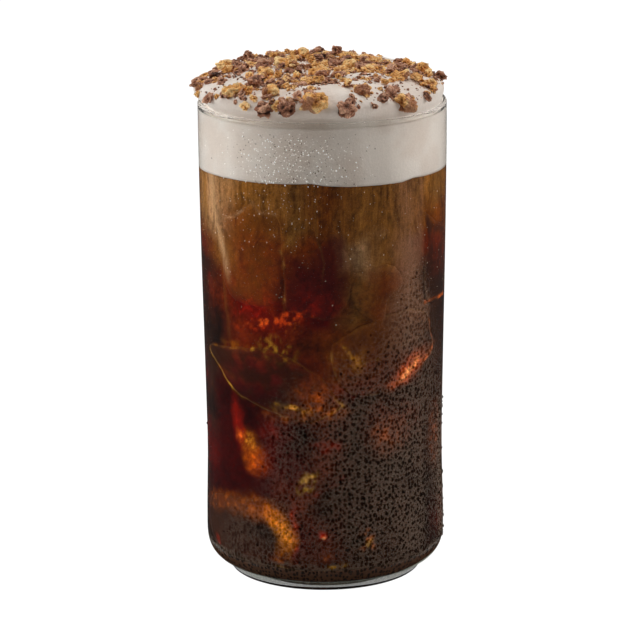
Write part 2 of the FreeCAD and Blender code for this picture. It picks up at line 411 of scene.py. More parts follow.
# %% [markdown]
# ## The glass
# The tumbler is thin, plain pressed glass. Its solid already has the right shape, so it stays
# and only gets a material: full transmission, the index of soda glass, and almost no
# roughness. A path tracer gives true refraction, but the shadows it casts on the drink would
# need caustics, so shadow rays go straight through.

# %% Glass material
clear_glass, tree, shader = new_material(
    "clear_glass", Base_Color=(0.985, 1.0, 0.99, 1), Roughness=0.015, IOR=1.5,
    Transmission_Weight=1.0)
let_light_in(tree, shader)
glass.data.materials.clear()
glass.data.materials.append(clear_glass)
print("glass material on", glass.name)

# %% [markdown]
# ## Where milk, coffee and cream meet
# The cream's underside is nearly level but not quite. The same slow wave that cut the solids
# gives its height here, in every direction, and to it comes a small rise on the front, where
# the milk has been drawn up a little. The drink and the cream both follow this one line.

# %% The cream line
RIM_RADIUS = 39.0
FOAM_LINE = LIP_Z - 20.4
FOAM_WAVE = 0.35
#   turn, rise in millimetres
FOAM_EDGE = [(-180, 0), (-82, 0), (-60, 0.5), (-40, 0.9), (-22, 1.3), (-5, 1.6), (1, 0.9), (12, 0.4),
             (30, 0.3), (40, 0.3), (47, 0.9), (56, 0.5), (72, 0.1), (82, 0), (180, 0)]


def cream_line(turn):
    """Height of the cream's lower edge where it meets the wall."""
    x, y = toward(turn)
    radius = inner_wall(FOAM_LINE)
    along = radius * (x * math.cos(0.5) + y * math.sin(0.5)) / RIM_RADIUS
    across = radius * (y * math.cos(0.5) - x * math.sin(0.5)) / RIM_RADIUS
    wave = np.sin(3.0 * along + 0.7) * np.cos(2.4 * across) + 0.5 * np.sin(5.1 * across + 1.9)
    places, rises = zip(*FOAM_EDGE)
    rise = np.interp(turn_gap(np.asarray(turn, float), 0), places, rises)
    return FOAM_LINE + FOAM_WAVE * wave + rise


levels = cream_line(np.arange(-180, 180, 5.0))
print("cream line from %.2f to %.2f" % (levels.min(), levels.max()))

# %% [markdown]
# ## Inside the drink
# Coffee is nearly opaque after a few millimetres, and milk is opaque at once. So the drink is
# made as three things: blocks of ice pressed against the wall, a dark core whose surface
# wanders up to the wall where the milk is and stays back from it where there is only coffee or
# ice, and a clear body of liquid that fills the rest and reaches just into the wall. Core and
# ice are painted corner by corner with one painter, so that a block of ice shows what is
# behind it and differs only by its tint, its outline and the light painted on it, as highlights
# and glows.

# %% Palette of the drink
BLACK = tone(30, 14, 9)
COLA = tone(56, 28, 16)
DEEP_RED = tone(58, 4, 3)
OXBLOOD = tone(92, 12, 6)
RED_BROWN = tone(112, 36, 7)
RUST = tone(136, 56, 6)
MILK_DEEP = tone(128, 64, 10)
MILK_BROWN = tone(148, 94, 38)
MILK_TAN = tone(186, 140, 98)
PINK_BROWN = tone(150, 104, 78)
AMBER = tone(148, 82, 8)
OLIVE = tone(96, 58, 12)
# The colours below are painted light: glints, glows and bright edges on the ice and in the coffee.
GOLD_GLINT = tone(222, 158, 44)
ORANGE_GLINT = tone(230, 104, 30)
HONEY_GLINT = tone(214, 104, 12)
ARC_GLOW = tone(206, 98, 6)
HOT_GLINT = tone(255, 190, 110)
RED_GLOW = tone(204, 34, 10)
print("black coffee is", BLACK.round(3), "and milk is", MILK_TAN.round(3))

# %% [markdown]
# ## What is where
# Short lists say what the drink does, in turns and heights. PLACES gives its broad colour:
# tan milk under the cream, red-brown where it thins, nearly black coffee below, and painted red
# light on the side where light comes through. ICE gives the outline of each block as the
# corners it presses against the wall. STREAMS are threads of cream, LINES are bright edges
# painted as highlights, and GLOWS are painted glows where light finds a short way through. The
# back of the glass gets its own, drawn by lot.

# %% Broad colours
#   height: then turn and colour, left to right
# The reds low on the left are painted red light coming through the coffee.
PLACES = {
    130: [(-80, MILK_BROWN), (-62, MILK_TAN), (-44, MILK_BROWN), (-30, MILK_BROWN), (-14, MILK_BROWN),
          (2, MILK_DEEP), (16, MILK_BROWN), (32, MILK_BROWN), (48, MILK_BROWN), (64, MILK_BROWN),
          (80, MILK_BROWN)],
    119: [(-82, MILK_BROWN), (-61, MILK_TAN), (-46, MILK_DEEP), (-30, MILK_DEEP), (-15, MILK_BROWN),
          (1, MILK_DEEP), (15, MILK_BROWN), (30, MILK_BROWN), (45, MILK_BROWN), (60, MILK_DEEP),
          (78, MILK_DEEP)],
    109: [(-84, RED_BROWN), (-74, RED_BROWN), (-59, MILK_BROWN), (-44, RUST), (-30, RUST), (-14, RUST),
          (1, RED_BROWN), (16, MILK_TAN), (30, MILK_BROWN), (46, PINK_BROWN), (60, RED_BROWN),
          (78, RED_BROWN)],
    100: [(-82, COLA), (-72, COLA), (-58, RED_BROWN), (-44, RUST), (-30, RUST), (-14, OXBLOOD),
          (2, OXBLOOD), (16, MILK_BROWN), (30, MILK_DEEP), (45, PINK_BROWN), (60, COLA), (78, RED_BROWN)],
    91: [(-80, COLA), (-70, RED_BROWN), (-58, RED_BROWN), (-44, OXBLOOD), (-30, OXBLOOD), (-14, OXBLOOD),
         (0, OXBLOOD), (14, MILK_BROWN), (30, MILK_DEEP), (45, PINK_BROWN), (60, COLA), (78, COLA)],
    82: [(-80, COLA), (-62, BLACK), (-46, RED_BROWN), (-30, RED_BROWN), (-15, RED_BROWN), (0, RUST),
         (16, MILK_DEEP), (30, MILK_DEEP), (46, PINK_BROWN), (62, COLA), (80, COLA)],
    73: [(-80, COLA), (-66, COLA), (-46, OXBLOOD), (-30, OXBLOOD), (-14, OXBLOOD), (0, RED_BROWN),
         (15, RUST), (30, RED_BROWN), (46, RED_BROWN), (62, COLA), (80, COLA)],
    64: [(-78, COLA), (-62, DEEP_RED), (-46, DEEP_RED), (-30, DEEP_RED), (-15, OXBLOOD), (0, RED_BROWN),
         (15, COLA), (30, COLA), (46, COLA), (62, COLA), (80, COLA)],
    52: [(-80, COLA), (-62, DEEP_RED), (-48, DEEP_RED), (-30, DEEP_RED), (-14, BLACK), (2, RED_BROWN),
         (15, COLA), (32, RED_BROWN), (46, RED_BROWN), (62, COLA), (80, COLA)],
    41: [(-80, OXBLOOD), (-62, DEEP_RED), (-46, DEEP_RED), (-32, DEEP_RED), (-14, OXBLOOD), (0, RED_BROWN),
         (15, COLA), (30, COLA), (46, COLA), (62, COLA), (80, COLA)],
    31: [(-80, DEEP_RED), (-62, DEEP_RED), (-46, DEEP_RED), (-30, DEEP_RED), (-14, RED_BROWN), (0, COLA),
         (15, COLA), (30, COLA), (46, COLA), (62, BLACK), (80, COLA)],
    20: [(-80, COLA), (-62, COLA), (-46, COLA), (-30, COLA), (-14, OXBLOOD), (0, RED_BROWN),
         (15, COLA), (30, COLA), (46, COLA), (62, BLACK), (80, OXBLOOD)],
    9: [(-80, COLA), (-50, COLA), (-20, RED_BROWN), (0, RED_BROWN), (20, COLA), (50, COLA), (80, BLACK)],
}

#   height: what a place at the back is drawn from
BEHIND = {130: [MILK_BROWN, MILK_TAN, MILK_DEEP], 119: [MILK_BROWN, MILK_DEEP, MILK_TAN],
          109: [MILK_BROWN, RUST, RED_BROWN], 100: [RUST, MILK_DEEP, RED_BROWN],
          91: [RED_BROWN, OXBLOOD, MILK_DEEP], 82: [RED_BROWN, COLA, OXBLOOD], 73: [OXBLOOD, COLA],
          64: [COLA, OXBLOOD, DEEP_RED], 52: [COLA, DEEP_RED], 41: [COLA, OXBLOOD], 31: [COLA, DEEP_RED],
          20: [COLA, BLACK], 9: [COLA]}
dice = random.Random(5)
for height, row in PLACES.items():
    for turn in range(96, 266, 15):
        row.append((turn + dice.uniform(-4, 4), dice.choice(BEHIND[height])))
print("places:", sum(len(row) for row in PLACES.values()))

# %% Blocks of ice
GRID_RADIUS = 36.0      # a wall radius good enough to turn degrees into millimetres
#     name, tint, how much of it, outline strength (how deep its rim lies, and its painted rim highlight),
#     corners (turn, height)
ICE = [
    ("ice_window", tone(122, 66, 6), 0.5, 0.0,
     [(-55, 118.5), (-48, 120.2), (-41, 122.6), (-36, 125.8), (-31, 123), (-23, 122.8), (-20.5, 116),
      (-20.5, 108), (-20, 101), (-24, 95), (-36, 93), (-48, 94), (-55, 98), (-56, 106)]),
    ("ice_middle", OXBLOOD, 0.6, 0.04,
     [(-19, 110.6), (-13, 111), (-7, 111.6), (-2, 113.5), (4, 117.5), (10, 116.5), (12.5, 108), (13, 99),
      (9, 92.5), (0, 90), (-11, 91.5), (-18, 93), (-19.5, 101)]),
    ("ice_right_top", RUST, 0.4, 0.03,
     [(15.5, 102.5), (19.8, 106.8), (24, 105.8), (31, 106.2), (37.6, 104.6), (41, 99), (33, 95), (30, 88),
      (22, 90), (13.4, 96)]),
    ("ice_edge", COLA, 0.75, 0.05,
     [(57, 119.5), (68, 116), (79, 113.5), (87, 110), (90, 99), (84, 91), (71, 90), (60, 91.5), (56.5, 102),
      (60, 111)]),
    ("ice_large", tone(56, 22, 5), 0.85, 0.1,
     [(-75, 74.2), (-70, 76.3), (-57, 77.4), (-44, 78.5), (-28, 79.6), (-19, 78), (-9, 74.5), (-1, 71.5),
      (4, 66.5), (9.6, 62.2), (3, 59.6), (-4.5, 57.2), (-12, 57), (-19, 58), (-27, 59.4), (-36.5, 61),
      (-47.5, 63.3), (-56, 66.2), (-63, 70)]),
    ("ice_right", tone(116, 56, 14), 0.45, 0.12,
     [(3.7, 81.5), (3.6, 76), (6, 70.5), (10.5, 67.5), (17, 65), (28, 64.7), (38, 66), (48, 68), (58, 71.5),
      (66, 73.4), (68, 76.5), (64.5, 81), (61, 87), (48, 90.5), (33, 90), (19, 87.5), (8.5, 84)]),
    ("ice_bottom", tone(64, 34, 20), 0.5, 0.06,
     [(-81, 22.5), (-66, 27.6), (-45, 29), (-34, 30.4), (-27, 30.6), (-20, 29), (-15, 24.6), (-14.2, 18),
      (-17, 12), (-26, 9), (-45, 8), (-64, 9.5), (-78, 14)]),
]
for number in range(8):
    turn = 104 + number * 21 + dice.uniform(-5, 5)
    height = (30, 72, 101, 50)[number % 4] + dice.uniform(-5, 5)
    wide, tall = dice.uniform(8, 17), dice.uniform(7, 13)
    corners = []
    for step in range(9):
        angle = math.radians(40 * step + dice.uniform(-14, 14))
        reach = dice.uniform(0.7, 1.15)
        corners.append((turn - math.degrees(wide * reach * math.cos(angle) / GRID_RADIUS),
                        height - tall * reach * math.sin(angle)))
    tint = dice.choice([AMBER, RUST]) if height > 88 else dice.choice([OLIVE, RED_BROWN, COLA])
    ICE.append(("ice_back_%d" % (number + 1), tint, 0.5, dice.uniform(0.02, 0.1), corners))
print("blocks of ice:", len(ICE))

# %% Streams
#   turn at top, turn at foot, top, foot, half width, colour, strength
STREAMS = [
    (-64.5, -50.5, 133, 97, 1.4, tone(206, 158, 112), 0.95),
    (-57, -54, 102, 78, 0.8, MILK_BROWN, 0.22),
    (-74, -70, 132, 112, 2.2, tone(176, 116, 44), 0.6),
    (-3.8, -1.6, 132, 98, 0.32, MILK_BROWN, 0.6),
    (43, 44, 132, 84, 4.6, PINK_BROWN, 0.55),
    (-14, -19, 122, 108, 2.2, tone(150, 98, 40), 0.8),
    (11, 14, 122, 96, 0.5, MILK_BROWN, 0.3),
    (22, 26, 132, 100, 1.2, MILK_BROWN, 0.5),
    (53, 52, 132, 104, 1.6, PINK_BROWN, 0.4),
    (68, 66, 132, 118, 2.4, tone(142, 98, 46), 0.5),
]

for _ in range(14):
    turn = dice.uniform(100, 262)
    STREAMS.append((turn, turn + dice.uniform(-5, 5), 132, dice.uniform(90, 116), dice.uniform(0.5, 2.6),
                    dice.choice([MILK_TAN, MILK_BROWN]), dice.uniform(0.3, 0.8)))
print("streams:", len(STREAMS))

# %% Bright edges, painted as highlights
#     half width, colour, strength, places it passes through; each line is a painted highlight in the colour
#     and the glow
LINES = [
    (0.6, MILK_BROWN, 0.5, [(-15, 115.8), (-21, 111.4), (-19.3, 108), (-19.2, 96), (-20, 91)]),
    (0.4, GOLD_GLINT, 0.6, [(-75, 74.2), (-63, 70), (-56, 66.2), (-47.5, 63.3)]),
    (0.35, GOLD_GLINT, 0.28, [(-47.5, 63.3), (-36.5, 61), (-27, 59.4), (-12, 57), (-4.5, 57.2), (3, 59.6),
                        (9.6, 62.2)]),
    (0.4, AMBER, 0.5, [(-75, 74.2), (-70, 76.3), (-57, 77.2), (-44, 78.5)]),
    (0.9, RUST, 0.45, [(-63, 70), (-52, 68.6), (-42, 67.8), (-31, 67.9)]),
    (0.6, GOLD_GLINT, 0.8, [(-24, 62.2), (-16, 61.6), (-7.7, 60.3)]),
    (0.4, ORANGE_GLINT, 0.5, [(-16, 68), (-10, 65.4), (-7, 62)]),
    (0.35, GOLD_GLINT, 0.3, [(9.6, 62.2), (5.2, 64.4), (3.5, 67.6)]),
    (0.6, tone(196, 126, 36), 0.5, [(8.5, 82), (13.3, 78), (18.3, 75)]),
    (0.5, GOLD_GLINT, 0.35, [(18.3, 75), (21.6, 76.3), (27.5, 76.4)]),
    (0.4, MILK_BROWN, 0.4, [(3.7, 81.5), (3.6, 76), (6, 70.7)]),
    (0.32, ORANGE_GLINT, 0.6, [(62.5, 86), (64.5, 81), (67.8, 76.5)]),
    (0.4, ORANGE_GLINT, 0.9, [(67.8, 76.5), (67, 73.4), (60, 72.2), (54, 70.6)]),
    (0.3, HONEY_GLINT, 0.6, [(66.4, 73), (58, 70), (50, 68.4), (42, 67.6)]),
    (0.5, ORANGE_GLINT, 1.0, [(59.5, 91), (68, 91), (75, 90.6), (84, 90.2)]),
    (0.6, RED_GLOW, 0.45, [(-4.9, 32.8), (2, 35.6), (9, 38.4)]),
    (0.5, GOLD_GLINT, 0.6, [(-28, 8.4), (-20, 7.2), (-15, 6.6)]),
    (0.5, MILK_TAN, 0.4, [(-54.7, 118.8), (-48, 120.4), (-41, 122.9), (-35.5, 126)]),
    (0.5, MILK_TAN, 0.3, [(-35.5, 126), (-32, 123.2), (-22.6, 122.9)]),
]

print("lines:", len(LINES))

# %% Glows, painted as light
#     turn, height, half width, half height, slant, colour, strength, glitter; each is painted light, in the
#     colour and the glow
GLOWS = [
    (-37, 92.0, 6.0, 3.4, 20, RED_GLOW, 0.22, 0.6),
    (-30, 87.8, 9.5, 1.6, 14, tone(208, 56, 10), 0.34, 0.8),
    (-33, 88.0, 5.0, 1.0, 16, ORANGE_GLINT, 0.3, 1.0),
    (-18, 90.0, 4.4, 1.4, 14, tone(208, 70, 14), 0.3, 1.0),
    (-5, 94.0, 6.0, 4.0, 0, RED_GLOW, 0.10, 0.8),
    (-26, 84.5, 10.0, 2.6, 8, OXBLOOD, 0.4, 0.6),
    (-72, 97.0, 1.5, 2.5, 0, RED_GLOW, 0.12, 0.6),
    (-24, 79.6, 4.5, 2.6, -20, GOLD_GLINT, 0.2, 1.0),
    (-37.7, 79.1, 0.6, 0.3, 30, GOLD_GLINT, 0.6, 0.2),
    (-50, 78.3, 5.0, 1.0, 0, AMBER, 0.3, 0.8),
    (-15, 86.0, 1.4, 2.4, -20, ORANGE_GLINT, 0.3, 0.9),
    (-4, 65.5, 6.5, 5.0, -30, RUST, 0.45, 0.4),
    (-1.2, 65.3, 1.6, 2.8, -10, ORANGE_GLINT, 0.4, 0.6),
    (-9, 59.4, 9.5, 2.0, 4, HONEY_GLINT, 0.3, 0.7),
    (-13, 61.2, 3.0, 0.7, -12, GOLD_GLINT, 0.22, 0.6),
    (-19, 60.6, 5.0, 1.2, -6, GOLD_GLINT, 0.25, 0.9),
    (17.8, 76, 1.6, 2.4, -30, tone(196, 126, 36), 0.35, 0.5),
    (8.5, 75, 3.6, 5.0, 20, AMBER, 0.2, 0.5),
    (46.5, 71.0, 6.2, 2.5, 30, tone(232, 88, 22), 0.85, 0.35),
    (46.5, 71.0, 3.6, 0.9, 30, HOT_GLINT, 0.7, 0.6),
    (60, 73.6, 5.0, 0.7, 20, ORANGE_GLINT, 0.6, 0.7),
    (14, 67, 7.0, 2.2, 6, RED_GLOW, 0.10, 0.6),
    (-49, 53.5, 1.9, 6.0, 6, RED_GLOW, 0.36, 0.2),
    (-49.6, 49.6, 0.8, 1.6, 4, ORANGE_GLINT, 0.6, 0.6),
    (-26, 53.5, 5.0, 3.4, 0, RED_GLOW, 0.1, 0.4),
    (-41, 45.0, 3.0, 4.6, 14, ARC_GLOW, 0.5, 0.35),
    (-37.5, 42.0, 3.2, 3.4, 14, tone(200, 70, 10), 0.5, 0.35),
    (-42.5, 47.5, 2.2, 2.0, 20, GOLD_GLINT, 0.3, 0.8),
    (-30, 46, 2.0, 7.0, 0, RED_GLOW, 0.05, 0.3),
    (36, 50.5, 5.0, 4.5, 20, RUST, 0.5, 0.6),
    (30, 51.5, 3.0, 2.0, 0, ORANGE_GLINT, 0.12, 0.6),
    (74, 46.0, 3.0, 7.0, 0, RUST, 0.6, 0.6),
    (-9.3, 36.6, 1.7, 2.6, -34, tone(206, 150, 62), 0.5, 0.9),
    (-6.0, 38.8, 1.1, 2.0, -30, tone(196, 140, 56), 0.3, 0.8),
    (2.5, 48.5, 3.6, 1.3, 0, RED_GLOW, 0.25, 0.9),
    (-70, 24.6, 8.0, 2.2, 10, ARC_GLOW, 0.2, 0.6),
    (-50, 26.0, 9.0, 2.4, -4, ARC_GLOW, 0.25, 0.5),
    (-34, 26.6, 7.5, 2.8, -12, ARC_GLOW, 0.34, 0.4),
    (-27, 24.8, 4.0, 2.4, -34, ARC_GLOW, 0.4, 0.3),
    (-23, 22.0, 4.4, 2.2, -50, tone(232, 136, 16), 0.72, 0.3),
    (-19.6, 17.4, 2.1, 3.2, -8, tone(226, 126, 14), 0.7, 0.3),
    (-15.8, 21.0, 0.8, 6.5, 4, RED_GLOW, 0.4, 0.6),
    (-22, 11.6, 2.2, 2.0, 0, HONEY_GLINT, 0.2, 1.0),
    (-1.0, 19.8, 1.0, 1.1, 0, RED_GLOW, 0.8, 0.6),
    (-0.6, 19.2, 0.45, 0.4, 0, HOT_GLINT, 0.7, 0.2),
    (-68, 12, 1.1, 1.2, 0, RED_GLOW, 0.4, 0.4),
    (22.6, 17.6, 2.4, 2.2, 0, HONEY_GLINT, 0.3, 1.0),
    (22.4, 16.6, 0.8, 0.5, 0, GOLD_GLINT, 0.6, 0.4),
    (6.3, 9.2, 2.7, 1.0, 18, GOLD_GLINT, 0.6, 0.9),
    (0, 12.5, 1.2, 1.0, 0, ORANGE_GLINT, 0.2, 0.8),
]
for _ in range(22):
    GLOWS.append((dice.uniform(98, 264), dice.uniform(10, 94), dice.uniform(1.2, 7), dice.uniform(0.8, 4),
                  dice.uniform(-40, 40), dice.choice([ORANGE_GLINT, RED_GLOW, GOLD_GLINT, AMBER]),
                  dice.uniform(0.25, 0.8), dice.uniform(0.4, 0.9)))
print("glows:", len(GLOWS))

# %% [markdown]
# ## Painting by rule
# The broad colour at a point is the mean of the places round it, weighted by nearness. The
# point is first moved about by slow noise, which turns even bands into drifting clouds, and
# then threads are laid over it: noise pulled out ten times taller than it is wide. Lines and
# glows are painted highlights and glows, put into the colour and into a glow of its own; they
# break up into small sparks, because the light in them comes through worn ice.

# %% Shapes on the unrolled wall
def unroll(turns, heights, turn, height):
    """Millimetres round and up the wall from a place on it."""
    return np.radians(turn_gap(turns, turn)) * GRID_RADIUS, heights - height


def oval_share(turns, heights, turn, height, half_width, half_height, slant, softness):
    """1 in the middle of a slanted oval, falling to 0 at its edge."""
    across, up = unroll(turns, heights, turn, height)
    lean = math.radians(slant)
    along = across * math.cos(lean) + up * math.sin(lean)
    over = up * math.cos(lean) - across * math.sin(lean)
    reach = np.sqrt((along / half_width) ** 2 + (over / half_height) ** 2)
    return 1 - ease(reach, 1 - softness, 1 + softness)


def stream_share(turns, heights, top_turn, foot_turn, top, foot, half_width):
    """A narrow stream that bends as it sinks, and fades at its foot."""
    down = np.clip((top - heights) / (top - foot), 0, 1)
    centre = top_turn + (foot_turn - top_turn) * down ** 1.6
    gap = np.radians(turn_gap(turns, centre)) * GRID_RADIUS
    ends = (1 - ease(heights, top, top + 1)) * ease(heights, foot, foot + 8)
    return np.exp(-(gap / half_width) ** 2) * ends


def distance_to(turns, heights, passes):
    """Distance in millimetres to a line through the given places."""
    first_turn, first_height = passes[0]
    across, up = unroll(turns, heights, first_turn, first_height)
    ends = [(math.radians(t - first_turn) * GRID_RADIUS, h - first_height) for t, h in passes]
    best = np.full(turns.shape, 1e3)
    for (ax, ay), (bx, by) in zip(ends[:-1], ends[1:]):
        length = (bx - ax) ** 2 + (by - ay) ** 2
        along = np.clip(((across - ax) * (bx - ax) + (up - ay) * (by - ay)) / length, 0, 1)
        best = np.minimum(best, np.hypot(across - ax - along * (bx - ax), up - ay - along * (by - ay)))
    return best


print("shapes ready")

# %% The broad colour at a place
def broad_colour(turns, heights):
    """Mean colour of the places near a point, in bands of height and then by turn."""
    levels = sorted(PLACES)
    bands = []
    for level in levels:
        row = sorted((t % 360, tuple(c)) for t, c in PLACES[level])
        where = np.array([t for t, _ in row])
        hues = np.array([c for _, c in row])
        where = np.concatenate([[where[-1] - 360], where, [where[0] + 360]])
        hues = np.vstack([hues[-1:], hues, hues[:1]])
        bands.append(np.stack([np.interp(turns % 360, where, hues[:, k]) for k in range(3)], -1))
    place = np.interp(heights, levels, np.arange(len(levels)))
    low = np.clip(np.floor(place).astype(int), 0, len(levels) - 2)
    share = (place - low)[..., None]
    share = share * share * (3 - 2 * share)
    stack = np.stack(bands)
    rows, columns = np.indices(turns.shape)
    return stack[low, rows, columns] * (1 - share) + stack[low + 1, rows, columns] * share


print("rows of places:", sorted(PLACES))

# %% The painter
GLOW_LEVEL = 0.5


def at_wall(turns, heights, depth):
    """Points the given depth behind the inner wall."""
    x, y = toward(turns)
    radius = inner_wall(heights) - depth
    return np.stack([radius * x, radius * y, heights + 0 * radius], -1)


def paint_drink(turns, heights):
    """Colour, painted glow, milkiness and smoke of the drink at a grid of places on the wall."""
    points = at_wall(turns, heights, 0.0)
    bend = np.stack([clouds(points, 18, 31 + 10 * k) for k in range(3)], -1) - 0.5
    drift_turns = turns + 16 * bend[..., 0] + 5 * (clouds(points, 4, 37, 3) - 0.5)
    drift_heights = heights + 13 * bend[..., 1] + 5 * (clouds(points, 4, 39, 3) - 0.5)
    warped = points + 14 * bend
    thread = warped * np.array([1, 1, 0.08])
    fine = clouds(thread, 0.95, 61, 2) - 0.5
    broad = clouds(thread * np.array([1, 1, 1.6]), 4.5, 71, 3) - 0.5
    speck = clouds(points, 1.0, 81, 2) - 0.5
    smoke = clouds(warped, 9, 83, 5) - 0.5
    milk = ease(heights + 30 * smoke + 12 * broad, 88, 112)

    colour = broad_colour(drift_turns, drift_heights)
    threads = 0.8 + 0.7 * ease(heights, 108, 124)
    grainy = 1 + milk * (threads * fine + 0.4 * broad) + (1 - milk) * 1.5 * smoke + 0.8 * speck
    colour = colour * np.clip(grainy, 0.15, 3)[..., None]
    for top_turn, foot_turn, top, foot, wide, hue, strength in STREAMS:
        wobble = turns + 9 * bend[..., 0] * ease(top - heights, 0, 25)
        share = stream_share(wobble, heights, top_turn, foot_turn, top, foot, wide)
        colour = mix(colour, hue, np.clip(share * strength * (0.9 + 1.6 * fine), 0, 1))

    glow = np.zeros_like(colour)
    glitter_noise = clouds(points, 1.5, 91, 3)
    crack = clouds(points, 3.2, 97, 3)
    broken = clouds(points, 6.0, 95, 3)
    ragged_turns = turns + 4.0 * (crack - 0.5)
    ragged_heights = heights + 2.6 * (clouds(points, 3.0, 99, 3) - 0.5)
    # Painted light: each glow goes into the glow and, in part, into the colour.
    for turn, height, wide, tall, slant, hue, strength, glitter in GLOWS:
        near = oval_share(ragged_turns, ragged_heights, turn, height, wide * 1.15, tall * 1.15, slant, 0.8)
        sparks = (1 - glitter) + glitter * 2.2 * ease(glitter_noise, 0.44, 0.72)
        share = near * sparks * strength
        glow = glow + share[..., None] * hue
        colour = mix(colour, hue, np.clip(share, 0, 1) * 0.6)
    # Painted highlights: each bright line goes into the glow and into the colour.
    for wide, hue, strength, passes in LINES:
        gap = distance_to(turns + 1.2 * (crack - 0.5), heights + 0.9 * (crack - 0.5), passes)
        share = np.exp(-(gap / (wide * (0.6 + 0.8 * crack))) ** 2) * strength
        share = share * (0.12 + 1.3 * ease(broken, 0.4, 0.66)) * (0.5 + ease(glitter_noise, 0.4, 0.7))
        glow = glow + share[..., None] * hue * 0.55
        colour = mix(colour, hue, np.clip(share, 0, 1) * 0.85)
    return np.clip(colour, 0, 1), glow * GLOW_LEVEL, milk, smoke


print("painter ready")

# %% [markdown]
# ## Ice
# A block is as clear as the coffee, so mostly its outline is seen where it is pressed against
# the wall. Each is a slab with a smooth closed outline through its corners: a front that lies
# a hair behind the wall and rounds off at its rim as melting ice does, a side, and a back
# some way in. The blocks behind are seen less closely and get a coarser grid.

# %% The outline of a block
def smooth_loop(corners, count, seed):
    """Evenly spaced points in millimetres on a smooth closed line through the corners."""
    middle = np.array(corners, float).mean(0)
    ends = np.array([((t - middle[0]) * math.pi / 180 * GRID_RADIUS, h - middle[1]) for t, h in corners])
    before, after, later = np.roll(ends, 1, 0), np.roll(ends, -1, 0), np.roll(ends, -2, 0)
    line = []
    for a, b, c, d in zip(before, ends, after, later):
        u = np.linspace(0, 1, 30, endpoint=False)[:, None]
        bend, twist = 2 * a - 5 * b + 4 * c - d, 3 * b - a - 3 * c + d
        line.append(0.5 * (2 * b + (c - a) * u + bend * u ** 2 + twist * u ** 3))
    line = np.vstack(line)
    steps = np.linalg.norm(np.roll(line, -1, 0) - line, axis=1)
    along = np.concatenate([[0], np.cumsum(steps)])
    closed = np.vstack([line, line[:1]])
    spots = np.linspace(0, along[-1], count, endpoint=False)
    loop = np.stack([np.interp(spots, along, closed[:, k]) for k in range(2)], -1)
    worn = clouds(np.stack([loop[:, 0], loop[:, 1], np.full(count, seed * 7.0)], -1), 2.6, seed, 3) - 0.5
    away = loop / np.linalg.norm(loop, axis=1, keepdims=True)
    return middle, loop + away * 1.1 * worn[:, None]


print("outline of %s: %d points" % (ICE[0][0], len(smooth_loop(ICE[0][4], 190, 70)[1])))

# %% Ice material
ice_paint, tree, shader = new_material(
    "sunken_ice", Roughness=0.35, Specular_IOR_Level=0.05, Emission_Strength=1.0)
grained(tree, shader, "shade", "Base Color", GRAIN_SCALE, 0.42)
# The glow is painted light: glints and sparks that the ice gives off itself.
grained(tree, shader, "glow", "Emission Color", GRAIN_SCALE, SPARK)
pores = use_group(tree, PORES, Scale=420.0, Depth=0.4)
add_bump(tree, shader, pores.outputs["Height"], 0.2, 0.0004)
print("material:", ice_paint.name)

# %% Placing the blocks
def block_rings(loop, outline, rings_in):
    """Flat rings of a block, how deep each lies, and how far in from its rim."""
    flat, depth, rim = [], [], []
    shares = np.concatenate([np.linspace(0.03, 0.8, rings_in // 2, endpoint=False),
                             np.linspace(0.8, 1.0, rings_in // 2)])
    for share in shares:
        flat.append(loop * share)
        depth.append(np.full(len(loop), 0.25 + (0.3 + 3 * outline) * share ** 14))
        rim.append((1 - share) * np.linalg.norm(loop, axis=1))
    for share, deep in ((1.0, 3.0), (0.97, 5.5), (0.85, 8.0), (0.5, 9.0), (0.1, 9.2)):
        flat.append(loop * share)
        depth.append(np.full(len(loop), deep))
        rim.append(np.full(len(loop), 30.0))
    return np.array(flat), np.array(depth), np.array(rim)


def place_ice(name, tint, amount, outline, corners, seed):
    """One block, painted like the drink behind it but for its tint and a painted highlight along its
    outline.
    """
    front = max(abs(turn_gap(t, 0)) for t, _ in corners) < 95
    count, rings_in = (190, 38) if front else (90, 18)
    middle, loop = smooth_loop(corners, count, seed)
    flat, depth, rim = block_rings(loop, outline, rings_in)
    turns = middle[0] + np.degrees(flat[..., 0] / GRID_RADIUS)
    heights = np.clip(middle[1] + flat[..., 1], FLOOR_Z + 0.8, FOAM_LINE - 0.8)
    dents = clouds(at_wall(turns, heights, 0), 3.4, seed + 50, 3) - 0.5
    depth = np.maximum(depth + 0.5 * dents * (depth < 2), 0.03)
    points, faces = sleeve(at_wall(turns, heights, depth))

    colour, glow, _, _ = paint_drink(turns, heights)
    veil = clouds(at_wall(turns, heights, 0), 5.0, seed + 3, 4)
    share = amount * ease(veil, 0.3, 0.6) * (0.3 + 0.7 * ease(rim, 0, 3))
    colour = mix(colour, tint, share)
    broken = ease(clouds(at_wall(turns, heights, 0), 1.8, seed + 5, 2), 0.35, 0.62)
    # Painted highlight: a broken gold line along the rim, in the colour and the glow.
    edge = np.exp(-((rim - 0.35) / 0.4) ** 2) * outline * (0.2 + 0.8 * broken)
    colour = mix(colour, GOLD_GLINT, np.clip(edge, 0, 1) * 0.5)
    glow = glow + edge[..., None] * GOLD_GLINT * 0.10
    block = mesh_piece(name, points, faces)
    ends = np.array([0, -1])
    paint(block, "shade", np.vstack([colour.reshape(-1, 3), colour[ends, 0]]))
    paint(block, "glow", np.vstack([glow.reshape(-1, 3), glow[ends, 0]]))
    block.data.materials.append(ice_paint)
    return block


pieces_of_ice = [place_ice(*row, 70 + number) for number, row in enumerate(ICE)]
print("ice blocks:", len(pieces_of_ice), "faces:", sum(len(p.data.polygons) for p in pieces_of_ice))

# %% [markdown]
# ## The core
# One closed skin round the inside of the glass. Its grid is finer at the front, where it is
# looked at from close by. It steps back where a block of ice is, so that the block's own face
# is what shows there. High up its grain is drawn out into upright threads, which is how milk
# hangs in coffee.

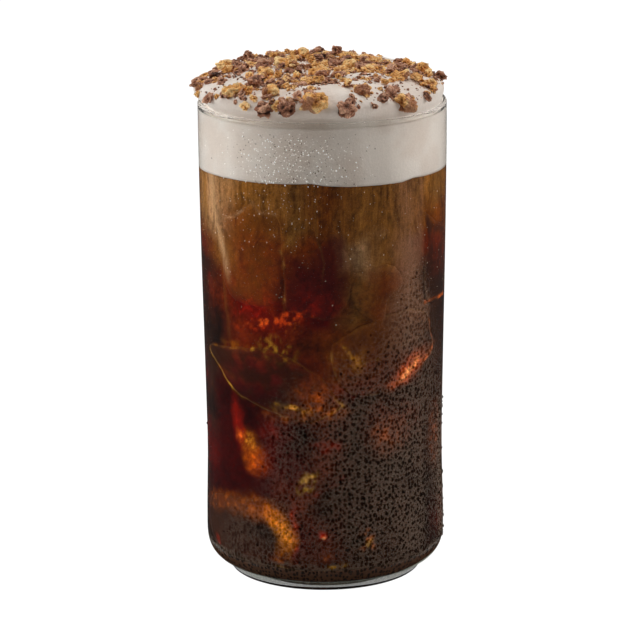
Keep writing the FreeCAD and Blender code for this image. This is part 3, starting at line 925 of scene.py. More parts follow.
# %% Room for the ice
def inside_ice(turns, heights):
    """How far back the core has to stand, in millimetres, where a block of ice is."""
    cover = np.zeros(turns.shape)
    for number, (_, _, _, outline, corners) in enumerate(ICE):
        middle, loop = smooth_loop(corners, 260, 70 + number)
        across, up = unroll(turns, heights, middle[0], middle[1])
        loop = loop[np.argsort(np.arctan2(loop[:, 1], loop[:, 0]))]
        bearing, size = np.arctan2(loop[:, 1], loop[:, 0]), np.hypot(loop[:, 0], loop[:, 1])
        reach = np.interp(np.arctan2(up, across), bearing, size, period=2 * math.pi)
        under = 1 - ease(np.hypot(across, up) - reach, -0.6, 0.5)
        cover = np.maximum(cover, under * (0.9 + 3.5 * outline))
    return cover


print("room ready for", len(ICE), "blocks")

# %% The core's surface
front_turns = np.linspace(-90, 90, 270, endpoint=False)
back_turns = np.linspace(90, 270, 145, endpoint=False)
grid_turns = np.concatenate([front_turns, back_turns])
shares = np.linspace(0, 1, 232)[:, None]
low = FLOOR_Z + 0.2
heights = low + (cream_line(grid_turns)[None, :] + 0.3 - low) * shares
turns = np.broadcast_to(grid_turns, heights.shape)
colour, glow, milk, smoke = paint_drink(turns, heights)
cover = inside_ice(turns, heights)
depth = 0.35 + 2.0 * (1 - milk) * np.clip(0.6 + 1.6 * smoke, 0.1, 1.6)
depth = np.maximum(depth, cover * ease(FOAM_LINE - heights, 3, 8))
depth = depth + 0.5 * (1 - ease(heights, FLOOR_Z + 1, FLOOR_Z + 8))
corners, faces = sleeve(at_wall(turns, heights, depth))
core = mesh_piece("coffee_core", corners, faces)
ends = np.array([COLA, MILK_BROWN])
paint(core, "shade", np.vstack([colour.reshape(-1, 3), ends]))
paint(core, "glow", np.vstack([glow.reshape(-1, 3), ends * 0]))
high_milk = (milk * ease(heights, 96, 122)).reshape(-1, 1)
paint(core, "milk", np.repeat(np.vstack([high_milk, [[0.0], [1.0]]]), 3, axis=1))
print("core: %d faces, depth %.2f to %.2f mm" % (len(faces), depth.min(), depth.max()))

# %% Core material
drink_paint, tree, shader = new_material(
    "drink_core", Roughness=0.55, Specular_IOR_Level=0.0, Emission_Strength=1.0)
speckled = grained(tree, shader, "shade", "Base Color", GRAIN_SCALE, 0.45, stretch=0.8)
# The glow is painted light: the glints and glows, given off by the core itself.
grained(tree, shader, "glow", "Emission Color", GRAIN_SCALE, SPARK)
threads = use_group(tree, GRAIN, Scale=1900.0, Stretch=0.07)
milkiness = node(tree, "ShaderNodeSeparateColor")
tree.links.new(painted(tree, "milk"), milkiness.inputs[0])
tree.links.new(math_node(tree, "MULTIPLY", milkiness.outputs[0], 0.34), threads.inputs["Amount"])
tree.links.new(speckled, threads.inputs["Color"])
tree.links.new(threads.outputs["Color"], shader.inputs["Base Color"])
core.data.materials.append(drink_paint)
print("core material ready")

# %% [markdown]
# ## The clear part of the liquid
# One closed skin that follows the inside of the glass 0.15 mm into the wall, so that there is
# no film of air between the two. Its top meets the cream line in every direction, with rings
# close together there to keep the upper edge crisp. It has nearly the index of water.

# %% Liquid body
INTO_WALL = 0.15
liquid_top = FOAM_LINE + 2
liquid_heights = np.concatenate([np.linspace(FLOOR_Z + 0.06, 15, 24), np.linspace(17, liquid_top - 0.1, 34),
                                 [liquid_top - 0.04, liquid_top]])
turns_round = np.linspace(-180, 180, 256, endpoint=False)
x, y = toward(turns_round)
top_line = cream_line(turns_round)
rings = []
for height in liquid_heights:
    radius = inner_wall(height) + INTO_WALL
    share = ease(height, FOAM_LINE - 10, liquid_top)
    z = height - INTO_WALL * (1 - ease(height, 6, 16)) + share * (top_line - 0.02 - liquid_top)
    rings.append(np.stack([radius * x, radius * y, np.broadcast_to(z, x.shape)], -1))
corners, faces = sleeve(np.array(rings))
liquid = mesh_piece("coffee_liquid", corners, faces)
clear_liquid, tree, shader = new_material(
    "clear_liquid", Base_Color=(1, 1, 1, 1), Roughness=0.0, IOR=1.34, Transmission_Weight=1.0)
let_light_in(tree, shader)
liquid.data.materials.append(clear_liquid)
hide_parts("black_coffee", "milky_coffee")
print("liquid: %d faces" % len(faces))

# %% [markdown]
# ## The cream
# Thick cold foam holds its shape: it fills the glass to the lip, is pinched where the lip
# holds it, swells out over the lip and domes up with slow folds. The solid was drawn by a rule
# that gives radius and height for each direction and lean, from -1 at the neck over 0 at the
# widest part to 1 on top. The same rule is used here at a finer step, with small bubbles and
# dents that a solid can't carry.

# %% The rule of the mound
BULGE, NECK = 37.8, 36.0            # widest and narrowest radius
SEAT = 2.0                          # how far below the lip the cream leaves the wall
WIDEST, DOME = 3.3, 6.4             # how high its widest part lies, and its top above that


def bulge_radius(angle):
    """Widest radius of the cream in a direction; it hangs out most on the left."""
    gap = turn_gap(np.degrees(angle), 180)
    lean_out = 2.7 * np.exp(-(gap / 55.0) ** 2)
    return BULGE + lean_out + 0.3 * np.sin(3 * angle + 0.6) + 0.21 * np.sin(5 * angle + 2.1)


def mound(angle, lean):
    """Radius and rise above the lip of the cream, for a direction and a lean."""
    bulge = bulge_radius(angle)
    neck = NECK + 0.8 * np.cos(angle + 0.35)
    under = (1 + np.cos(np.pi * np.minimum(lean, 0))) / 2
    radius_low = neck + (bulge - neck) * under
    rise_low = WIDEST + (WIDEST + SEAT) * np.minimum(lean, 0)
    tip = np.clip(lean, 0, 1) * np.pi / 2
    radius_high = bulge * np.cos(tip) ** 0.6
    fade = np.clip(np.sin(2 * tip), 0, 1) ** 1.2
    rise_high = WIDEST + DOME * np.sin(tip) ** 0.9
    rise_high = rise_high + 0.7 * fade * np.sin(2 * angle - 3.2 * tip + 0.8)
    rise_high = rise_high + 0.3 * fade * np.sin(5 * angle + 4.0 * tip)
    low = lean < 0
    return np.where(low, radius_low, radius_high), np.where(low, rise_low, rise_high)


print("widest cream: %.2f" % bulge_radius(np.linspace(0, 2 * np.pi, 360)).max())

# %% The cream's upper face
LEANS = np.linspace(0, 0.9995, 400)


def mound_top(angle, distance):
    """Height of the cream's upper face at a distance from the axis."""
    angle = np.atleast_1d(np.asarray(angle, float))
    distance = np.atleast_1d(np.asarray(distance, float))
    radius, rise = mound(angle[:, None], LEANS[None, :])
    tops = [np.interp(d, r[::-1], h[::-1]) for d, r, h in zip(distance, radius, rise)]
    return np.array(tops) + LIP_Z


print("top of the cream at the middle: %.2f" % mound_top(0, 1.0)[0])

# %% Rings of the cream
columns = 340
angles = np.linspace(0, 2 * np.pi, columns, endpoint=False)
turn_of = np.degrees(angles) + 90.0
edge_line = cream_line(turn_of)
rows = []
for share in (0.3, 0.6, 0.85, 0.96):
    radius = inner_wall(edge_line) * share
    rows.append((radius, edge_line + 0.3 * (1 - share)))
for share in np.linspace(0, 1, 26):
    height = edge_line + (LIP_Z - SEAT - 0.05 - edge_line) * share
    rows.append((inner_wall(height) + INTO_WALL, height))
for share in (0.35, 0.75):
    radius, rise = mound(angles, np.full(columns, -1.0))
    inner = inner_wall(LIP_Z - SEAT) - 0.05
    rows.append((inner + (radius - inner) * share, np.full(columns, LIP_Z - SEAT + 0.02)))
leans = np.concatenate([np.linspace(-1, 0, 15), np.linspace(0.02, 0.93, 74), np.linspace(0.94, 0.985, 14)])
for lean in leans:
    radius, rise = mound(angles, np.full(columns, lean))
    rows.append((radius, LIP_Z + rise))
rings = np.stack([np.stack([r * np.cos(angles), r * np.sin(angles), z], -1) for r, z in rows])
print("rings of cream:", len(rings))

# %% Bubbles and dents
above = rings[..., 2] > LIP_Z - SEAT + 0.1
dents = clouds(rings, 7.0, 201, 3) - 0.5
bubbles = clouds(rings, 1.3, 211, 2) - 0.5
out = rings * np.array([1, 1, 0])
out = out / np.maximum(np.linalg.norm(out, axis=-1, keepdims=True), 1e-6)
high = ease(rings[..., 2], LIP_Z + 3, LIP_Z + 8)[..., None]
way = out * (1 - high) + np.array([0, 0, 1.0]) * high
push = np.where(above, 0.55 * dents + 0.16 * bubbles, 0.0) * ease(rings[..., 2], LIP_Z + 2.0, LIP_Z + 5)
rings = rings + way * push[..., None]
corners, faces = sleeve(rings)
foam = mesh_piece("cream", corners, faces)
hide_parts("cream_foam")
print("cream: %d faces" % len(faces))

# %% Colour of the cream
CREAM = tone(243, 235, 228)
CREAM_SHADE = tone(228, 213, 202)
tint = clouds(corners, 9.0, 221, 4)
shade = mix(np.broadcast_to(CREAM, corners.shape), CREAM_SHADE, ease(tint, 0.35, 0.7) * 0.6)
paint(foam, "shade", shade)
print("cream runs from", shade.min(0).round(2), "to", shade.max(0).round(2))

# %% Cream material
cream_paint, tree, shader = new_material("cream", Roughness=0.62, Specular_IOR_Level=0.25)
grained(tree, shader, "shade", "Base Color", 1500.0, 0.05)
pores = use_group(tree, PORES, Scale=1500.0, Depth=0.6)
add_bump(tree, shader, pores.outputs["Height"], 0.35, 0.0003)
foam.data.materials.append(cream_paint)
print("cream material ready")

# %% [markdown]
# ## Lumps
# The larger lumps are their own solids, seated in pockets in the cream. Each is copied, split
# finer and worn by noise, then painted: honeycomb is a brittle sugar foam and the chocolate a
# dull pinkish brown with a broken, grainy face. Both are painted lighter where they stand out,
# a painted highlight, and darker in their pits, painted shade: bright gold over burnt orange on
# the honeycomb, and dark brown on the chocolate.

# %% Finer triangles
def split_once(points, triangles):
    """Each triangle becomes four."""
    middles, corners, finer = {}, list(map(tuple, points)), []

    def middle(i, j):
        key = (min(i, j), max(i, j))
        if key not in middles:
            middles[key] = len(corners)
            corners.append(tuple((np.asarray(corners[i]) + np.asarray(corners[j])) / 2))
        return middles[key]

    for i, j, k in triangles:
        a, b, c = middle(i, j), middle(j, k), middle(k, i)
        finer += [(i, a, c), (j, b, a), (k, c, b), (a, b, c)]
    return np.array(corners), finer


def points_mm(piece):
    """Corners of a piece in millimetres."""
    flat = np.empty(len(piece.data.vertices) * 3)
    piece.data.vertices.foreach_get("co", flat)
    return flat.reshape(-1, 3) / MM


def welded(obj):
    """Corners of a solid's mesh with doubles joined, and its triangles."""
    raw = points_mm(obj)
    keys = np.round(raw, 3)
    _, first, back = np.unique(keys, axis=0, return_index=True, return_inverse=True)
    back = back.ravel()
    triangles = [tuple(int(back[i]) for i in p.vertices) for p in obj.data.polygons]
    return raw[first], [t for t in triangles if len(set(t)) == 3]


print("one lump has %d triangles before it is split" % len(welded(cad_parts["honeycomb_01"])[1]))

# %% Colours of the crumbs
#     kind: on top, between, in the pits; the top is a painted highlight and the pit painted shade
CRUMB_LIT_AND_SHADED_TONES = {"honeycomb": (tone(255, 218, 156), tone(238, 176, 100), tone(156, 90, 40)),
               "chocolate": (tone(226, 176, 146), tone(164, 110, 84), tone(54, 27, 17))}


def crumb_colour(kind, relief, points, seed):
    """Colour by how far a point stands out of the lump's pits: a painted highlight where it
    stands out and painted shade in the pits; honeycomb has a chocolate coat in places."""
    top, mid, pit_shade = CRUMB_LIT_AND_SHADED_TONES[kind]
    colour = mix(np.broadcast_to(mid, points.shape), top, ease(relief, 0.5, 0.72))
    colour = mix(colour, pit_shade, 1 - ease(relief, 0.28, 0.5))
    if kind == "honeycomb":
        coat = ease(clouds(points, 4.5, seed + 7, 2), 0.64, 0.7)
        colour = mix(colour, CRUMB_LIT_AND_SHADED_TONES["chocolate"][1], coat * 0.85)
    return colour


def crumb_material(name, roughness, bump, scale):
    material, tree, shader = new_material(name, Roughness=roughness, Specular_IOR_Level=0.4)
    grained(tree, shader, "shade", "Base Color", 2300.0, 0.5)
    pores = use_group(tree, PORES, Scale=scale, Depth=0.7)
    add_bump(tree, shader, pores.outputs["Height"], bump, 0.0005)
    return material


crumb_paint = {"honeycomb": crumb_material("honeycomb", 0.38, 0.7, 1400.0),
               "chocolate": crumb_material("chocolate", 0.5, 0.8, 2200.0)}
print("crumb materials:", sorted(crumb_paint))

# %% Breaking up the lumps
#   kind: size of its bumps, how far they push the face in and out
WEAR = {"honeycomb": (2.0, 3.2), "chocolate": (1.5, 2.8)}


def refine_lump(name, kind, seed):
    """A lump's solid, split finer and worn, in the solid's place."""
    bump_size, push = WEAR[kind]
    points, triangles = welded(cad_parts[name])
    for _ in range(3):
        points, triangles = split_once(points, triangles)
    centre = points.mean(0)
    outward = points - centre
    length = np.linalg.norm(outward, axis=1, keepdims=True)
    relief = clouds(points, bump_size, seed, 3)
    points = points + outward / length * ((relief - 0.5) * push)[:, None]
    lump = mesh_piece(name + "_broken", points, triangles, smooth=False)
    # Painted highlight where the lump stands out and painted shade in its pits.
    paint(lump, "shade", crumb_colour(kind, relief, points, seed))
    lump.data.materials.append(crumb_paint[kind])
    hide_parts(name)
    return lump


lumps = []
for name in sorted(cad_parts):
    if name.startswith(("honeycomb_", "chocolate_")):
        lumps.append(refine_lump(name, name.split("_")[0], 300 + len(lumps)))
print("lumps refined:", len(lumps))

# %% [markdown]
# ## Crumbs
# Hundreds of smaller crumbs lie on the dome, thick in places and leaving bare cream in others.
# Each is a small craggy solid of its own size and turn: a rounded block whose radius is pushed
# in and out by two sizes of noise. They lie on the cream or on the crumbs below them. All
# crumbs of a kind are joined into one mesh.

# %% Where crumbs lie
#   bare cream: turn, place as a share of the widest radius, half width in degrees, half depth in share
BARE = [(-95, 0.49, 12, 0.06), (-140, 0.22, 25, 0.08), (-80, 0.62, 7, 0.06), (-70, 0.93, 7, 0.05),
        (-63, 0.79, 9, 0.035), (-35, 0.85, 8, 0.03), (-34, 0.94, 7, 0.03), (8, 0.88, 10, 0.09),
        (21, 0.64, 9, 0.08), (5, 0.95, 8, 0.05), (24, 0.995, 12, 0.02), (75, 0.98, 7, 0.05),
        (80, 0.87, 7, 0.06), (85, 0.53, 7, 0.05), (60, 0.88, 5, 0.03), (-8, 0.99, 12, 0.03),
        (-50, 1.0, 7, 0.02), (-22, 0.83, 5, 0.02), (36, 0.99, 8, 0.02), (140, 0.86, 16, 0.08),
        (200, 0.92, 18, 0.07), (170, 0.60, 16, 0.10), (245, 0.80, 12, 0.08)]

#   turn, place, size: crumbs that stand alone near the rim
LONE = {
    "chocolate": [(-60, 1.0, 3.6), (-52, 0.98, 1.1), (-43, 0.993, 1.4), (17, 0.99, 1.4), (25, 0.995, 2.1),
                  (-12.7, 0.90, 3.4), (-45, 0.75, 4.2), (31, 0.95, 3.6), (59, 0.997, 3.2), (15, 0.914, 2.4),
                  (-18, 0.68, 2.0), (-33, 0.80, 3.0), (38, 0.90, 3.8), (44, 0.86, 3.6), (-28, 0.93, 3.0),
                  (-24, 0.97, 2.8), (-76, 0.90, 3.2), (-80, 0.95, 2.4)],
    "honeycomb": [(-37, 1.0, 2.8), (-23.5, 0.72, 2.8), (-73, 1.0, 2.4), (-76, 0.97, 2.6), (68.5, 0.97, 2.8),
                  (69, 0.82, 3.8), (-34, 0.96, 2.6), (-21, 0.99, 2.6), (-84, 0.97, 2.0), (76, 0.93, 2.6)],
}


DOME_RADIUS = 38


def crumb_density(turns, places):
    """How likely a crumb is to stay where it falls."""
    x, y = toward(turns)
    spots = np.stack([places * DOME_RADIUS * x, places * DOME_RADIUS * y, 0 * places], -1)
    density = 0.62 + 1.7 * (clouds(spots, 7.0, 401, 3) - 0.45) + 0.35 * (1 - ease(places, 0.55, 0.85))
    for centre, where, wide, deep in BARE:
        reach = np.hypot(turn_gap(turns, centre) / wide, (places - where) / deep)
        density = density * ease(reach, 0.7, 1.2)
    return np.clip(density, 0.015, 1) * (1 - ease(places, 0.985, 1.005))


def scatter(count, seed, low, high, alone=()):
    """Turn, place and size of crumbs that stayed, with those that stand alone."""
    draw = np.random.default_rng(seed)
    thrown = count * 12
    turns = draw.uniform(-180, 180, thrown)
    places = np.sqrt(draw.uniform(0, 1, thrown))
    kept = np.flatnonzero(draw.uniform(0, 1, thrown) < crumb_density(turns, places))[:count]
    sizes = low + (high - low) * draw.uniform(0, 1, len(kept)) ** 2.2
    lone = np.array(alone, float).reshape(-1, 3)
    return (np.concatenate([turns[kept], lone[:, 0]]), np.concatenate([places[kept], lone[:, 1]]),
            np.concatenate([sizes, lone[:, 2]]))


print("chance of a crumb in the middle: %.2f" % crumb_density(np.zeros(1), np.zeros(1))[0])

# %% The shape of a crumb
def ball(level):
    """Unit directions and triangles of a finely split ball."""
    sketch = bmesh.new()
    bmesh.ops.create_icosphere(sketch, subdivisions=level, radius=1.0)
    directions = np.array([v.co[:] for v in sketch.verts])
    triangles = [tuple(v.index for v in f.verts) for f in sketch.faces]
    sketch.free()
    return directions / np.linalg.norm(directions, axis=1)[:, None], triangles


def crumb_shapes(directions, sizes, seed, draw):
    """Craggy blocks round the origin, how flat each is, and the relief of their faces."""
    count = len(sizes)
    around = directions[None] + draw.uniform(0, 900, (count, 1, 3))
    relief = 0.5 * soft_noise(around, 0.62, seed) + 0.5 * soft_noise(around, 0.3, seed + 1)
    power = draw.uniform(2.0, 3.6, (count, 1))
    swell = (np.abs(directions)[None] ** power[..., None]).sum(-1) ** (-1 / power)
    radius = swell * (0.15 + 1.6 * relief)
    width, flatness = draw.uniform(0.5, 0.95, count), draw.uniform(0.4, 0.75, count)
    stretch = np.stack([np.ones(count), width, flatness], -1)
    return directions[None] * radius[..., None] * (stretch * sizes[:, None] / 2)[:, None], flatness, relief


FINE, COARSE = 3, 1     # how often a ball is split, for crumbs and for dust
print("a crumb has %d triangles, and a grain of dust %d" % (len(ball(FINE)[1]), len(ball(COARSE)[1])))

# %% Strewing the crumbs
SLOPE_STEP = 0.8        # the slope under a crumb is measured over this length


def crumbs(name, kind, where, seed, level):
    """All small crumbs of one kind as one mesh, each lying on the cream's slope."""
    turns, places, sizes = where
    directions, triangles = ball(level)
    draw = np.random.default_rng(seed)
    count = len(turns)
    angles = np.radians(turns - 90)
    widest_here = bulge_radius(angles)
    distances = places * widest_here
    tops = mound_top(angles, np.minimum(distances, widest_here * 0.998))
    inner = mound_top(angles, np.maximum(distances - SLOPE_STEP, 0))
    slope = np.clip(np.arctan2(inner - tops, SLOPE_STEP), 0, 1.35)
    shapes, flatness, relief = crumb_shapes(directions, sizes, seed, draw)
    points = []
    for number in range(count):
        x, y = math.cos(angles[number]), math.sin(angles[number])
        spin = Matrix.Rotation(draw.uniform(0, 6.28), 3, "Z")
        spin = spin @ Matrix.Rotation(draw.uniform(-0.6, 0.6), 3, "X")
        lean = Matrix.Rotation(0.9 * slope[number], 3, Vector((-y, x, 0)))
        out, up = math.sin(slope[number]), math.cos(slope[number])
        half = flatness[number] * sizes[number] / 2
        pile = (draw.random() < 0.25) * (places[number] < 0.85) * 0.3 * sizes[number]
        lift = half * draw.uniform(0.0, 0.55) + pile
        centre = np.array([distances[number] * x, distances[number] * y, tops[number]])
        centre = centre + np.array([x * out, y * out, up]) * lift
        points.append(shapes[number] @ np.array(lean @ spin).T + centre)
    points = np.vstack(points)
    offsets = (np.arange(count) * len(directions))[:, None, None]
    faces = (np.array(triangles)[None] + offsets).reshape(-1, 3).tolist()
    piece = mesh_piece(name, points, faces, smooth=False)
    shift = draw.uniform(-0.1, 0.1, (count, 1))
    # Painted highlight on what stands out of each crumb and painted shade in its pits.
    paint(piece, "shade", crumb_colour(kind, (relief + shift).reshape(-1), points, seed))
    piece.data.materials.append(crumb_paint[kind])
    print("%s: %d crumbs, %d triangles" % (name, count, len(faces)))


crumbs("chocolate_crumbs", "chocolate", scatter(450, 1, 1.1, 3.9, LONE["chocolate"]), 501, FINE)
crumbs("honeycomb_crumbs", "honeycomb", scatter(250, 2, 1.2, 4.2, LONE["honeycomb"]), 502, FINE)
crumbs("chocolate_dust", "chocolate", scatter(1500, 3, 0.4, 1.2), 503, COARSE)
crumbs("honeycomb_dust", "honeycomb", scatter(500, 4, 0.4, 1.2), 504, COARSE)

# %% [markdown]
# ## Condensation
# Cold glass mists over and the mist gathers into drops. The mist is a skin a few hundredths of
# a millimetre outside the wall, nearly clear, and three things are painted on it: how much
# mist there is, a painted brown shade over the rounded heel, and the painted pale shine of the
# clear foot below it. Where there is mist, nodes draw a net of brown-grey veins round dark
# drops. The largest drops are real domes of water, dark where the coffee is behind them, and
# high on the glass the finest ones are beads with a painted sparkle: pale, with a faint glow
# of their own.

# %% How much mist there is
#   turn, height, half width in degrees, half height, strength
MIST = [(46, 46, 32, 48, 1.0), (18, 40, 26, 40, 0.9), (-8, 34, 26, 36, 0.6), (-32, 15, 30, 17, 0.5),
        (48, 84, 14, 20, 0.75), (80, 34, 14, 36, 1.0), (150, 52, 60, 46, 0.8), (-140, 40, 46, 34, 0.6)]


def mist_amount(turns, heights):
    """Patches of mist, torn by clouds, with a bare streak and a thick one on the right."""
    points = at_wall(turns, heights, 0)
    amount = np.zeros(turns.shape)
    for turn, height, wide, tall, strength in MIST:
        reach = np.sqrt((turn_gap(turns, turn) / wide) ** 2 + ((heights - height) / tall) ** 2)
        amount = np.maximum(amount, strength * (1 - ease(reach, 0.5, 1.25)))
    amount = amount * (0.5 + 1.0 * clouds(points, 12, 601, 4))
    low_down = 1 - ease(heights, 52, 66)
    amount = amount * (1 - 0.35 * np.exp(-((turns - 46.5) / 11) ** 2 - ((heights - 71) / 4.5) ** 2))
    amount = amount * (1 - 0.5 * low_down * np.exp(-((turns - 61) / 4.5) ** 2))
    amount = amount * (1 + 0.7 * low_down * np.exp(-((turns - 76) / 7.0) ** 2))
    return np.clip(amount, 0, 1.3)


print("patches of mist:", len(MIST))

# %% Mist skin
SKIN_GAP = 0.05         # how far the skin lies outside the wall
#   lowest height, highest height, rows between
BANDS = [(0.9, 3, 8), (3, 10, 20), (10, 16, 8)]
rows = np.concatenate([np.linspace(low, high, count, endpoint=False) for low, high, count in BANDS]
                      + [np.linspace(16, 128, 56)])
turns = np.broadcast_to(np.linspace(-180, 180, 241), (len(rows), 241))
heights = np.broadcast_to(rows[:, None], turns.shape)
x, y = toward(turns)
radius = outer_wall(heights) + SKIN_GAP
rings = np.stack([radius * x, radius * y, heights], -1)
index = np.arange(turns.size).reshape(turns.shape)
low, high = index[:-1], index[1:]
quads = np.stack([low[:, :-1], low[:, 1:], high[:, 1:], high[:, :-1]], -1).reshape(-1, 4).tolist()
mist = mesh_piece("condensation_mist", rings.reshape(-1, 3), quads)
print("mist skin: %d faces" % len(quads))

# %% Mist, painted heel shade and painted shine
amount = mist_amount(turns, heights)
foot_line = np.interp(turns, [-180, -110, -90, -70, -40, 0, 40, 62, 84, 110, 180],
                      [4.4, 4.6, 5.4, 5.4, 4.4, 3.9, 4.4, 6.4, 7.6, 5.0, 4.4])
# Painted shade: a brown darkening over the rounded heel, above the foot line.
heel_shade = (1 - ease(heights, 8, 13)) * ease(heights, foot_line - 0.5, foot_line + 0.3)
amount = np.where(heights < foot_line + 0.3, 0.0, amount)
# Painted shine: a pale band over the clear foot, brightest along its top.
shine = ease(heights, 0.9, 1.4) * (1 - ease(heights, foot_line - 0.2, foot_line + 0.3))
shine = shine * (0.55 + 0.45 * np.exp(-((heights - foot_line + 0.5) / 0.5) ** 2))
shine = shine * (0.5 + clouds(rings, 7, 607, 3))
paint(mist, "amount", np.stack([amount, heel_shade, shine], -1).reshape(-1, 3))
print("mist: amount %.2f to %.2f" % (amount.min(), amount.max()))

# %% Places on the unrolled skin, in metres
SKIN_RADIUS = 38.0
flat = np.stack([np.radians(turns) * SKIN_RADIUS * MM + 0.2, heights * 0.86 * MM, 0 * turns], -1)
paint(mist, "place", flat.reshape(-1, 3))
print("the skin unrolls to %.0f mm" % (np.ptp(flat[..., 0]) / MM))

# %% The net of drops
def make_drop_net():
    """A net of light veins round dark drops of uneven size; gives the share that is mist."""
    group, start, end = new_group(
        "DropNet", [("Place", "NodeSocketVector", None), ("Scale", "NodeSocketFloat", 1000.0)],
        [("Mist", "NodeSocketFloat")])
    ragged = node(group, "ShaderNodeTexNoise")
    ragged.inputs["Scale"].default_value = 900.0
    group.links.new(start.outputs["Place"], ragged.inputs["Vector"])
    push = node(group, "ShaderNodeVectorMath", operation="MULTIPLY_ADD")
    push.inputs[1].default_value = (0.00012, 0.00012, 0.0)
    group.links.new(ragged.outputs["Color"], push.inputs[0])
    group.links.new(start.outputs["Place"], push.inputs[2])
    cells = node(group, "ShaderNodeTexVoronoi", feature="F1", voronoi_dimensions="2D")
    group.links.new(push.outputs[0], cells.inputs["Vector"])
    group.links.new(start.outputs["Scale"], cells.inputs["Scale"])
    cells.inputs["Randomness"].default_value = 0.8
    vary = node(group, "ShaderNodeSeparateColor")
    group.links.new(cells.outputs["Color"], vary.inputs[0])
    limit = math_node(group, "MULTIPLY", math_node(group, "POWER", vary.outputs[0], 2.0), 0.22)
    limit = math_node(group, "ADD", limit, 0.2)
    outside = math_node(group, "SUBTRACT", cells.outputs["Distance"], limit)
    soft = math_node(group, "MULTIPLY", outside, 9.0, clamp=True)
    group.links.new(soft, end.inputs["Mist"])
    return group


DROP_NET = make_drop_net()
print("group:", DROP_NET.name, "with", [s.name for s in DROP_NET.interface.items_tree])

# %% Mist material
mist_paint, tree, shader = new_material("mist", Roughness=0.8, Specular_IOR_Level=0.0)
net = use_group(tree, DROP_NET, Scale=730.0)
tree.links.new(painted(tree, "place"), net.inputs["Place"])
split = node(tree, "ShaderNodeSeparateColor")
tree.links.new(painted(tree, "amount"), split.inputs[0])
much, heel_shade, shine = split.outputs
veins = blended(tree, net.outputs["Mist"], (0.006, 0.003, 0.002, 1), (0.36, 0.26, 0.2, 1))
# Painted shade over the heel: dark browns, nearly opaque, laid over the mist and the glass.
heel_shade_tone = blended(tree, net.outputs["Mist"], (0.022, 0.011, 0.007, 1), (0.07, 0.035, 0.021, 1))
brown = blended(tree, heel_shade, veins, heel_shade_tone)
tree.links.new(blended(tree, shine, brown, (0.56, 0.62, 0.53, 1)), shader.inputs["Base Color"])
cover = math_node(tree, "SUBTRACT", 0.66, math_node(tree, "MULTIPLY", net.outputs["Mist"], 0.42))
cover = math_node(tree, "MULTIPLY", cover, much, clamp=True)
cover = math_node(tree, "MAXIMUM", cover, math_node(tree, "MULTIPLY", heel_shade, 0.93))
cover = math_node(tree, "MAXIMUM", cover, math_node(tree, "MULTIPLY", shine, 0.75))
tree.links.new(cover, shader.inputs["Alpha"])
mist.data.materials.append(mist_paint)
print("material:", mist_paint.name)

# %% Drops of water
DROP_RISE = 0.34        # how far a drop stands out, as a share of its width
DROP_GAP = 0.03         # how far its edge lies outside the wall


def drops(name, count, seed, low, high, keep, material):
    """Shallow domes of water on the outside of the glass, joined into one mesh."""
    draw = random.Random(seed)
    around, levels = 8, (1.0, 0.7)
    points, faces = [], []
    placed = 0
    while placed < count:
        turn, height = draw.uniform(-180, 180), draw.uniform(8, 149)
        if draw.random() > keep(turn, height):
            continue
        size = low + (high - low) * draw.random() ** 2.2
        tall = draw.uniform(0.9, 1.35)
        x, y = toward(turn)
        radius = float(outer_wall(height)) + DROP_GAP
        base = len(points)
        for ring_number, share in enumerate(levels):
            rise = size * DROP_RISE * math.sqrt(max(0.0, 1 - share ** 2))
            for step in range(around):
                angle = 2 * math.pi * step / around
                side = size / 2 * share * math.cos(angle)
                up = size / 2 * share * tall * math.sin(angle)
                spot = radius + rise
                points.append((spot * x - side * y, spot * y + side * x, height + up))
        crown = radius + size * DROP_RISE
        points.append((crown * x, crown * y, height))
        top = base + around * len(levels)
        for ring_number in range(len(levels) - 1):
            for step in range(around):
                after = (step + 1) % around
                a, b = base + ring_number * around + step, base + ring_number * around + after
                faces.append((a, b, b + around, a + around))
        last = base + around * (len(levels) - 1)
        for step in range(around):
            faces.append((last + step, last + (step + 1) % around, top))
        placed += 1
    piece = mesh_piece(name, points, faces)
    piece.data.materials.append(material)
    print("%s: %d drops, %d faces" % (name, placed, len(faces)))


print("drops ready")

# %% Water and beads
dark_water, tree, shader = new_material(
    "dark_water", Base_Color=(0.2, 0.14, 0.11, 1), Roughness=0.05, IOR=1.33, Transmission_Weight=1.0)
let_light_in(tree, shader)
# Painted sparkle: the beads are pale and give off a faint glow of their own.
amber_glow_water, tree, shader = new_material(
    "amber_glow_water", Base_Color=(0.86, 0.68, 0.48, 1), Roughness=0.3, IOR=1.33, Emission_Strength=0.12)
shader.inputs["Emission Color"].default_value = (1.0, 0.84, 0.62, 1)
white_glow_water, tree, shader = new_material(
    "white_glow_water", Base_Color=(0.95, 0.94, 0.92, 1), Roughness=0.3, IOR=1.33, Emission_Strength=0.4)
shader.inputs["Emission Color"].default_value = (1.0, 0.98, 0.95, 1)
print("water and beads:", dark_water.name, amber_glow_water.name, white_glow_water.name)

# %% Where the drops are
def band(height, low, full, fading, gone):
    """1 between two heights and 0 well below and above them."""
    return float(ease(height, low, full)) * float(1 - ease(height, fading, gone))


def over_mist(turn, height):
    """The large drops lie where the mist is thick."""
    return float(mist_amount(np.array([turn]), np.array([height]))[0]) ** 1.2


def over_milk(turn, height):
    """Fine beads high on the drink, thickest left of the front."""
    thick = math.exp(-(turn_gap(turn, -20) / 24) ** 2) * band(height, 104, 132, 143, 148)
    return (thick + 0.05 * band(height, 84, 96, 130, 140)) * (height < 130.5)


def over_cream(turn, height):
    """The beads that lie over the cream's band."""
    return math.exp(-(turn_gap(turn, -15) / 21) ** 2) * band(height, 131.5, 134, 144, 150.5)


